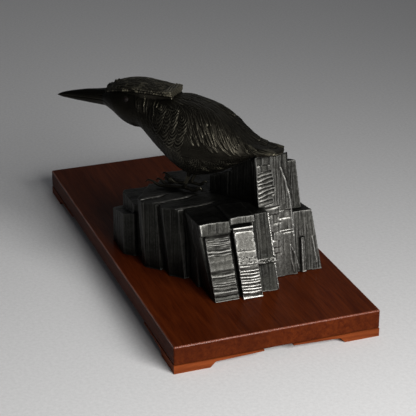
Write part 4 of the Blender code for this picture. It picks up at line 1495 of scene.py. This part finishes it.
def fill_in(tree, shader, inputs):
    """Give a shader its inputs by their labels, each a socket or a plain value."""
    for label, value in inputs.items():
        feed(tree, shader.inputs[label], value)


def object_place(tree):
    """Places on the object itself, so that its finish stays with it."""
    return tree.nodes.new("ShaderNodeTexCoord").outputs["Object"]


def noted(tree, name):
    """A value that was kept at each point of the mesh."""
    return add_node(tree, "ShaderNodeAttribute", attribute_name=name).outputs["Fac"]


def bump(tree, shader, height, strength, distance):
    """Roughen the surface by a height."""
    node = tree.nodes.new("ShaderNodeBump")
    fill_in(tree, node, {"Strength": strength, "Distance": distance, "Height": height})
    tree.links.new(node.outputs["Normal"], shader.inputs["Normal"])


def bronze_parts(tree, blotch_scale, grain_scale, start, end):
    """Patina and wear of cast bronze: blotches, grain, worn edges and dirt in the cuts."""
    patina = use_group(tree, "cast_patina", cast_patina_group, blotch_scale=blotch_scale,
                       grain_scale=grain_scale)
    worn = use_group(tree, "worn_bronze", bronze_wear_and_highlight_group, proud=noted(tree, "worn"),
                     breakup=patina["Grain"], start=start, end=end)
    return patina["Blotch"], patina["Grain"], worn["Edge"], worn["Dirt"]


def rock_finish(look):
    """Grey silver-brown bronze: dark in its cuts, rubbed bright where proud, with painted highlights and
    shade.
    """
    material, tree, shader = new_finish("rock_bronze_chiselled")
    blotch, grain, worn, dirt = bronze_parts(tree, blotch_scale=85.0, grain_scale=1500.0,
                                             start=0.50, end=0.74)
    rubbed = noted(tree, "rubbed")
    base = mixed(tree, spread(tree, blotch, 0.35, 0.65), look.dark, look.patina)
    # Grey silver laid on by the share of polish and painted light: rubbed faces and painted highlights.
    polish_and_painted_light_share = times(tree, rubbed, spread(tree, blotch, 0.2, 0.6, 0.6, 1.0))
    lit = mixed(tree, polish_and_painted_light_share, base, look.polish_and_painted_light_colour)
    edge = times(tree, worn, spread(tree, rubbed, 0.0, 0.9, 0.09, 1.0))
    bright = mixed(tree, edge, lit, look.edge)
    shine = maths(tree, "ADD", edge, times(tree, rubbed, 0.5))
    fill_in(tree, shader, {
        "Base Color": mixed(tree, times(tree, dirt, 0.6), bright, look.dirt),
        "Roughness": spread(tree, shine, 0.0, 1.2, 0.52, 0.30),
        "Metallic": 1.0,
    })
    bump(tree, shader, grain, strength=0.35, distance=0.0004)
    return material


def bird_finish(look):
    """Brown-black bronze, warm brassy wear on the carved feathers, painted shade and a painted
    highlight.
    """
    material, tree, shader = new_finish("bird_bronze_carved")
    blotch, grain, worn, dirt = bronze_parts(tree, blotch_scale=70.0, grain_scale=1700.0,
                                             start=0.56, end=0.86)
    tone = noted(tree, "tone")
    dull = noted(tree, "dull")
    base = mixed(tree, spread(tree, blotch, 0.35, 0.65), look.dark, look.patina)
    base = mixed(tree, spread(tree, tone, 0.0, 1.0, 0.0, 0.35), base, look.patina)
    # Darker where unworn, and painted shade on the breast, underside, long quills and toes.
    base = mixed(tree, spread(tree, dull, 0.0, 1.0, 0.0, 0.8), base, look.dull)
    flecks = spread(tree, grain, 0.38, 0.60, 0.25, 1.0)
    # Pale brass on the feathers rubbed most, and a painted highlight on the left shank.
    pale = times(tree, spread(tree, tone, USUAL_TONE + 0.01, 1.0, 0.0, 0.8), flecks)
    base = mixed(tree, pale, base, look.pale)
    edge = times(tree, worn, spread(tree, dull, 0.0, 1.0, 1.0, 0.12))
    wear = times(tree, edge, spread(tree, tone, 0.0, 1.0, 0.25, 0.8))
    bright = mixed(tree, wear, base, look.worn)
    fill_in(tree, shader, {
        "Base Color": mixed(tree, times(tree, dirt, 0.8), bright, look.dirt),
        "Roughness": spread(tree, edge, 0.0, 1.0, 0.52, 0.40),
        "Metallic": 1.0,
    })
    bump(tree, shader, grain, strength=0.25, distance=0.0003)
    return material


def eye_finish(look):
    """Polished dark inlay with a dull pinkish middle."""
    material, tree, shader = new_finish("eye_inlay_polished")
    patina = use_group(tree, "cast_patina", cast_patina_group, blotch_scale=500.0, grain_scale=2500.0)
    veined = mixed(tree, spread(tree, patina["Blotch"], 0.35, 0.7), look.iris, look.vein)
    fill_in(tree, shader, {
        "Base Color": mixed(tree, noted(tree, "pupil"), veined, look.pupil),
        "Roughness": spread(tree, patina["Grain"], 0.3, 0.7, 0.5, 0.65),
        "Specular IOR Level": 0.08,
    })
    return material


def edge_mask(tree, place, low, high):
    """Where an upright box's top edges are: 1 on their rounding and 0 elsewhere."""
    parts = add_node(tree, "ShaderNodeSeparateXYZ", vector=place).outputs
    sides = []
    for axis in (0, 1):
        middle, half = (low[axis] + high[axis]) / 2, (high[axis] - low[axis]) / 2
        off = maths(tree, "ABSOLUTE", maths(tree, "SUBTRACT", parts[axis], middle), 0.0)
        sides.append(spread(tree, off, half - 1.0 * MM, half - 0.5 * MM))
    top = spread(tree, parts[2], high[2] - 1.2 * MM, high[2] - 0.6 * MM)
    return times(tree, maths(tree, "MAXIMUM", *sides), top)


def darker(colour, share):
    """A colour at a share of its brightness."""
    return tuple(channel * share for channel in colour)


def wood_finish(name, dark, light, gloss, turned, box=None):
    """Lacquered hardwood whose grain runs along the plinth, or across it where turned.

    Where a box is given, its top edges get a painted highlight in their colour and a glossy coat.
    """
    material, tree, shader = new_finish(name)
    place = object_place(tree)
    turn = add_node(tree, "ShaderNodeMapping", vector=place,
                    rotation=(0.0, 0.0, math.radians(90.0) if turned else 0.0))
    wood = use_group(tree, "wood_grain", wood_grain_group, vector=turn.outputs["Vector"], figure=0.6)
    base = mixed(tree, spread(tree, wood["Grain"], 0.3, 0.7), dark, light)
    cloud = spread(tree, wood["Cloud"], 0.3, 0.7, 0.0, 0.55)
    base = mixed(tree, cloud, base, darker(dark, 0.55))
    pores = spread(tree, wood["Pores"], 0.56, 0.70, 0.0, 0.6)
    final = mixed(tree, pores, base, darker(dark, 0.35))
    coat = gloss
    if box:
        kept = spread(tree, wood["Pores"], 0.35, 0.6, 1.0, 0.3)
        edge = times(tree, edge_mask(tree, place, *box), kept)
        # Painted highlight: the top edges are made pale in their colour.
        rubbed = tuple(channel * 3.0 + 0.06 for channel in light)
        final = mixed(tree, times(tree, edge, 0.5), final, rubbed)
        coat = spread(tree, edge, 0.0, 1.0, gloss, 1.0)
    fill_in(tree, shader, {
        "Base Color": final,
        "Roughness": spread(tree, wood["Cloud"], 0.3, 0.7, 0.40, 0.50),
        "Coat Weight": coat,
        "Specular IOR Level": 0.03,
        "Coat Roughness": 0.16,
    })
    bump(tree, shader, wood["Grain"], strength=0.08, distance=0.0005)
    return material


# Sizes and colours


def length_of(name, description, default):
    return FloatProperty(name=name, description=description, default=default, unit="LENGTH")


def share_of(name, description, default):
    return FloatProperty(name=name, description=description, default=default, min=0.0, max=4.0,
                         subtype="FACTOR")


def power_of(name, description, default):
    return FloatProperty(name=name, description=description, default=default, unit="POWER")


def colour_of(name, description, default):
    return FloatVectorProperty(name=name, description=description, default=default,
                               subtype="COLOR", size=3, min=0.0, max=1.0)


class BirdLook(bpy.types.PropertyGroup):
    """Carving and colours of the bird."""

    grain: length_of("Skin grain", "Distance between the points of the carved skin", 0.00033)
    lift: share_of("Feather lift", "Height of the carved feathers, as a share of the usual", 1.0)
    dark: colour_of("Dark patina", "Brown-black of the plain places", (0.014, 0.0125, 0.010))
    patina: colour_of("Patina", "Lighter blotches of the patina", (0.045, 0.041, 0.032))
    # Also painted shade on the breast, underside, long quills and toes.
    dull: colour_of("Unworn bronze", "Nearly black bronze of the face and toes", (0.010, 0.009, 0.007))
    worn: colour_of("Worn edges", "Warm bronze where feathers are rubbed", (0.152, 0.141, 0.106))
    # Also the painted highlight on the left shank.
    pale: colour_of("Pale feathers", "Brassy bronze of the few feathers rubbed most", (0.34, 0.31, 0.22))
    dirt: colour_of("Cuts", "Darkness left in the cuts", (0.005, 0.0045, 0.0035))


class RockLook(bpy.types.PropertyGroup):
    """Carving and colours of the rock."""

    grain: length_of("Skin grain", "Distance between the points of the carved skin", 0.00046)
    depth: share_of("Chisel depth", "Depth of the chisel marks, as a share of the usual", 1.0)
    dark: colour_of("Dark patina", "Darkest of the plain faces", (0.010, 0.010, 0.009))
    patina: colour_of("Patina", "Lighter blotches of the plain faces", (0.024, 0.024, 0.021))
    # Also laid on as painted highlight where the rock's faces catch the light.
    polish_and_painted_light_colour: colour_of("Rubbed faces", "Grey silver of the rubbed faces", (0.125, 0.122, 0.112))
    # Also painted highlights on the risers and along the highlight lines.
    edge: colour_of("Bright edges", "Silver of the ridges and edges", (0.30, 0.295, 0.28))
    dirt: colour_of("Cuts", "Darkness left in the cuts", (0.005, 0.005, 0.0045))


class EyeLook(bpy.types.PropertyGroup):
    """Colours of the inlaid eyes."""

    iris: colour_of("Iris", "Dark stone round the middle of the inlay", (0.005, 0.004, 0.0035))
    vein: colour_of("Vein", "Paler clouding in the stone", (0.008, 0.006, 0.0055))
    pupil: colour_of("Pupil", "Dull pinkish middle of the eye", (0.0085, 0.005, 0.0053))


class PlinthLook(bpy.types.PropertyGroup):
    """Colours and gloss of the plinth's wood."""

    dark: colour_of("Board, dark grain", "Darker grain of the board", (0.048, 0.0072, 0.0016))
    light: colour_of("Board, light grain", "Lighter grain of the board", (0.110, 0.021, 0.0040))
    foot_dark: colour_of("Feet, dark grain", "Darker grain of the feet", (0.11, 0.020, 0.005))
    foot_light: colour_of("Feet, light grain", "Lighter grain of the feet", (0.26, 0.062, 0.016))
    gloss: share_of("Lacquer", "Weight of the clear lacquer", 0.03)


class StageLook(bpy.types.PropertyGroup):
    """Floor, light and camera."""

    floor: colour_of("Floor", "Pale paper under and behind the sculpture", (0.78, 0.78, 0.79))
    key: power_of("Key light", "Power of the large soft light", 4.5)
    fill: power_of("Fill light", "Power of the weak light from above", 0.7)
    rim: power_of("Back light", "Power of the weak light from behind", 0.6)
    sky: share_of("Room light", "Strength of the even light of the room", 0.055)
    lens: FloatProperty(name="Lens", description="Focal length of the camera",
                        default=124.83, unit="CAMERA")


# Stage

# The paper, in metres: how far it lies flat in front and behind, half its width, the radius
# of its sweep and the steps in each half
FLOOR_FRONT = 1.6
FLAT_END = 1.568
FLOOR_HALF_WIDTH = 4.0
SWEEP_RADIUS = 1.6
FLOOR_STEPS = 20

# Lights: name, place, target, width and height in metres, the look that gives its power, its
# colour and its beam in degrees
LIGHTS = (
    ("key_light", (0.95, 0.22, 0.45), (0.24, -0.12, 0.0), 0.7, 0.45, "key", (1.0, 0.99, 0.965), 90.0),
    ("fill_light", (-0.3, 0.5, 1.8), (0.0, 0.0, 0.0), 1.6, 1.6, "fill", (0.95, 0.97, 1.0), 180.0),
    ("rim_light", (-1.1, 0.45, 0.75), (0.0, 0.0, 0.08), 1.2, 0.5, "rim", (1.0, 0.99, 0.96), 180.0),
)
ROOM_COLOUR = (0.90, 0.93, 1.0)

# The camera's place in metres, the way it faces and the width of its film in millimetres
CAMERA_PLACE = (0.87466, -0.30566, 0.46063)
CAMERA_FACES = (-0.85478, 0.31367, -0.41348)
SENSOR_WIDTH = 36.0


def floor_mesh():
    """A sheet of paper that lies flat and sweeps up behind the sculpture."""
    outline = []
    for step in range(FLOOR_STEPS):
        outline.append((FLOOR_FRONT - (FLOOR_FRONT + FLAT_END) * step / FLOOR_STEPS, 0.0))
    for step in range(FLOOR_STEPS + 1):
        turn = math.pi / 2 * step / FLOOR_STEPS
        outline.append((-SWEEP_RADIUS * (1 + math.sin(turn)), SWEEP_RADIUS * (1 - math.cos(turn))))
    across = np.linspace(-FLOOR_HALF_WIDTH, FLOOR_HALF_WIDTH, 9)
    points = [(x, y, z) for x, z in outline for y in across]
    faces = []
    for row in range(len(outline) - 1):
        for column in range(len(across) - 1):
            corner = row * len(across) + column
            faces.append((corner, corner + 1, corner + len(across) + 1, corner + len(across)))
    mesh = bpy.data.meshes.new("paper_sweep")
    mesh.from_pydata(points, [], faces)
    mesh.shade_smooth()
    return mesh


def paper_finish(colour):
    """Pale matt paper with a faint fibre."""
    material, tree, shader = new_finish("pale_paper")
    fibre = add_node(tree, "ShaderNodeTexNoise", detail=4.0, roughness=0.75, scale=420.0,
                     vector=object_place(tree)).outputs["Fac"]
    final = mixed(tree, spread(tree, fibre, 0.3, 0.7), colour, darker(colour, 0.86))
    fill_in(tree, shader, {"Base Color": final, "Roughness": 0.85})
    return material


def soft_light(name, place, target, width, height, watts, colour, beam):
    """A rectangular lamp that faces its target."""
    light = bpy.data.lights.new(name, "AREA")
    light.shape = "RECTANGLE"
    light.size = width
    light.size_y = height
    light.energy = watts
    light.color = colour
    light.spread = math.radians(beam)
    lamp = bpy.data.objects.new(name, light)
    lamp.location = place
    aim = Vector(target) - Vector(place)
    lamp.rotation_euler = aim.to_track_quat("-Z", "Y").to_euler()
    bpy.context.scene.collection.objects.link(lamp)


def light_room(scene, colour, strength):
    """Even light from all around."""
    world = scene.world or bpy.data.worlds.new("room")
    scene.world = world
    world.use_nodes = True
    background = world.node_tree.nodes["Background"]
    fill_in(world.node_tree, background, {"Color": colour, "Strength": strength})


def set_camera(lens):
    """The camera at the photograph's viewing angle."""
    data = bpy.data.cameras.new("camera")
    data.lens = lens
    data.sensor_width = SENSOR_WIDTH
    data.clip_start = 0.01
    camera = bpy.data.objects.new("camera", data)
    camera.location = CAMERA_PLACE
    camera.rotation_euler = Vector(CAMERA_FACES).to_track_quat("-Z", "Y").to_euler()
    bpy.context.scene.collection.objects.link(camera)
    bpy.context.scene.camera = camera


# Operators


class KINGFISHER_OT_carve_rock(bpy.types.Operator):
    """Carve the chisel marks on the rock and give it its bronze"""

    bl_idname = "kingfisher.carve_rock"
    bl_label = "Carve Rock"

    def execute(self, context):
        look = context.scene.kingfisher_rock
        carve_rock(look.grain, look.depth, rock_finish(look))
        return {"FINISHED"}


class KINGFISHER_OT_carve_bird(bpy.types.Operator):
    """Carve the feathers, bill and feet of the bird and give it its bronze"""

    bl_idname = "kingfisher.carve_bird"
    bl_label = "Carve Bird"

    def execute(self, context):
        look = context.scene.kingfisher_bird
        carve_bird(look.grain, look.lift, bird_finish(look))
        return {"FINISHED"}


class KINGFISHER_OT_set_eyes(bpy.types.Operator):
    """Set the two polished eyes in their sockets"""

    bl_idname = "kingfisher.set_eyes"
    bl_label = "Set Eyes"

    def execute(self, context):
        material = eye_finish(context.scene.kingfisher_eyes)
        for name, side in (("left", 1), ("right", -1)):
            mesh = eye_mesh(f"eye_{name}_inlay", side)
            add_piece(f"eye_{name}_inlay", mesh, material, "eye_inlay", f"eye_{name}")
        return {"FINISHED"}


class KINGFISHER_OT_finish_plinth(bpy.types.Operator):
    """Stain and lacquer the board and its four feet"""

    bl_idname = "kingfisher.finish_plinth"
    bl_label = "Finish Plinth"

    def execute(self, context):
        look = context.scene.kingfisher_plinth
        corners = points_of(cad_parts["plinth_board"].data)
        box = (corners.min(axis=0).tolist(), corners.max(axis=0).tolist())
        board = wood_finish("lacquered_board", tuple(look.dark), tuple(look.light), look.gloss,
                            False, box)
        foot = wood_finish("lacquered_feet", tuple(look.foot_dark), tuple(look.foot_light),
                           look.gloss, True)
        for name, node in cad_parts.items():
            if name.startswith("plinth"):
                node.data.materials.clear()
                node.data.materials.append(board if name == "plinth_board" else foot)
        return {"FINISHED"}


class KINGFISHER_OT_build_stage(bpy.types.Operator):
    """Lay the pale paper and set the lights and the camera"""

    bl_idname = "kingfisher.build_stage"
    bl_label = "Build Stage"

    def execute(self, context):
        look = context.scene.kingfisher_stage
        mesh = floor_mesh()
        mesh.materials.append(paper_finish(tuple(look.floor)))
        paper = bpy.data.objects.new("paper_sweep", mesh)
        context.scene.collection.objects.link(paper)
        for name, place, target, width, height, lamp, colour, beam in LIGHTS:
            soft_light(name, place, target, width, height, getattr(look, lamp), colour, beam)
        light_room(context.scene, ROOM_COLOUR, look.sky)
        context.scene.view_settings.view_transform = "Standard"
        set_camera(look.lens)
        return {"FINISHED"}


class KINGFISHER_PT_workshop(bpy.types.Panel):
    """Every step of the sculpture's making, in order"""

    bl_idname = "KINGFISHER_PT_workshop"
    bl_label = "Bronze Kingfisher"
    bl_space_type = "VIEW_3D"
    bl_region_type = "UI"
    bl_category = "Kingfisher"

    def draw(self, context):
        for operator in OPERATORS:
            self.layout.operator(operator.bl_idname)
        for key in LOOKS:
            box = self.layout.box()
            look = getattr(context.scene, key)
            for name in look.bl_rna.properties.keys():
                if name not in ("name", "rna_type"):
                    box.prop(look, name)


OPERATORS = (
    KINGFISHER_OT_build_stage,
    KINGFISHER_OT_finish_plinth,
    KINGFISHER_OT_carve_rock,
    KINGFISHER_OT_carve_bird,
    KINGFISHER_OT_set_eyes,
)
LOOKS = {
    "kingfisher_bird": BirdLook,
    "kingfisher_rock": RockLook,
    "kingfisher_eyes": EyeLook,
    "kingfisher_plinth": PlinthLook,
    "kingfisher_stage": StageLook,
}


def register():
    """Add the looks, the operators and the panel."""
    for kind in (*LOOKS.values(), *OPERATORS, KINGFISHER_PT_workshop):
        bpy.utils.register_class(kind)
    for key, kind in LOOKS.items():
        setattr(bpy.types.Scene, key, PointerProperty(type=kind))


def unregister():
    """Take away what register added."""
    for key in LOOKS:
        delattr(bpy.types.Scene, key)
    for kind in reversed((*LOOKS.values(), *OPERATORS, KINGFISHER_PT_workshop)):
        bpy.utils.unregister_class(kind)


def main():
    """Build the sculpture and its stage."""
    register()
    bpy.ops.kingfisher.build_stage()
    bpy.ops.kingfisher.finish_plinth()
    bpy.ops.kingfisher.carve_rock()
    bpy.ops.kingfisher.carve_bird()
    bpy.ops.kingfisher.set_eyes()


if __name__ == "__main__":
    main()
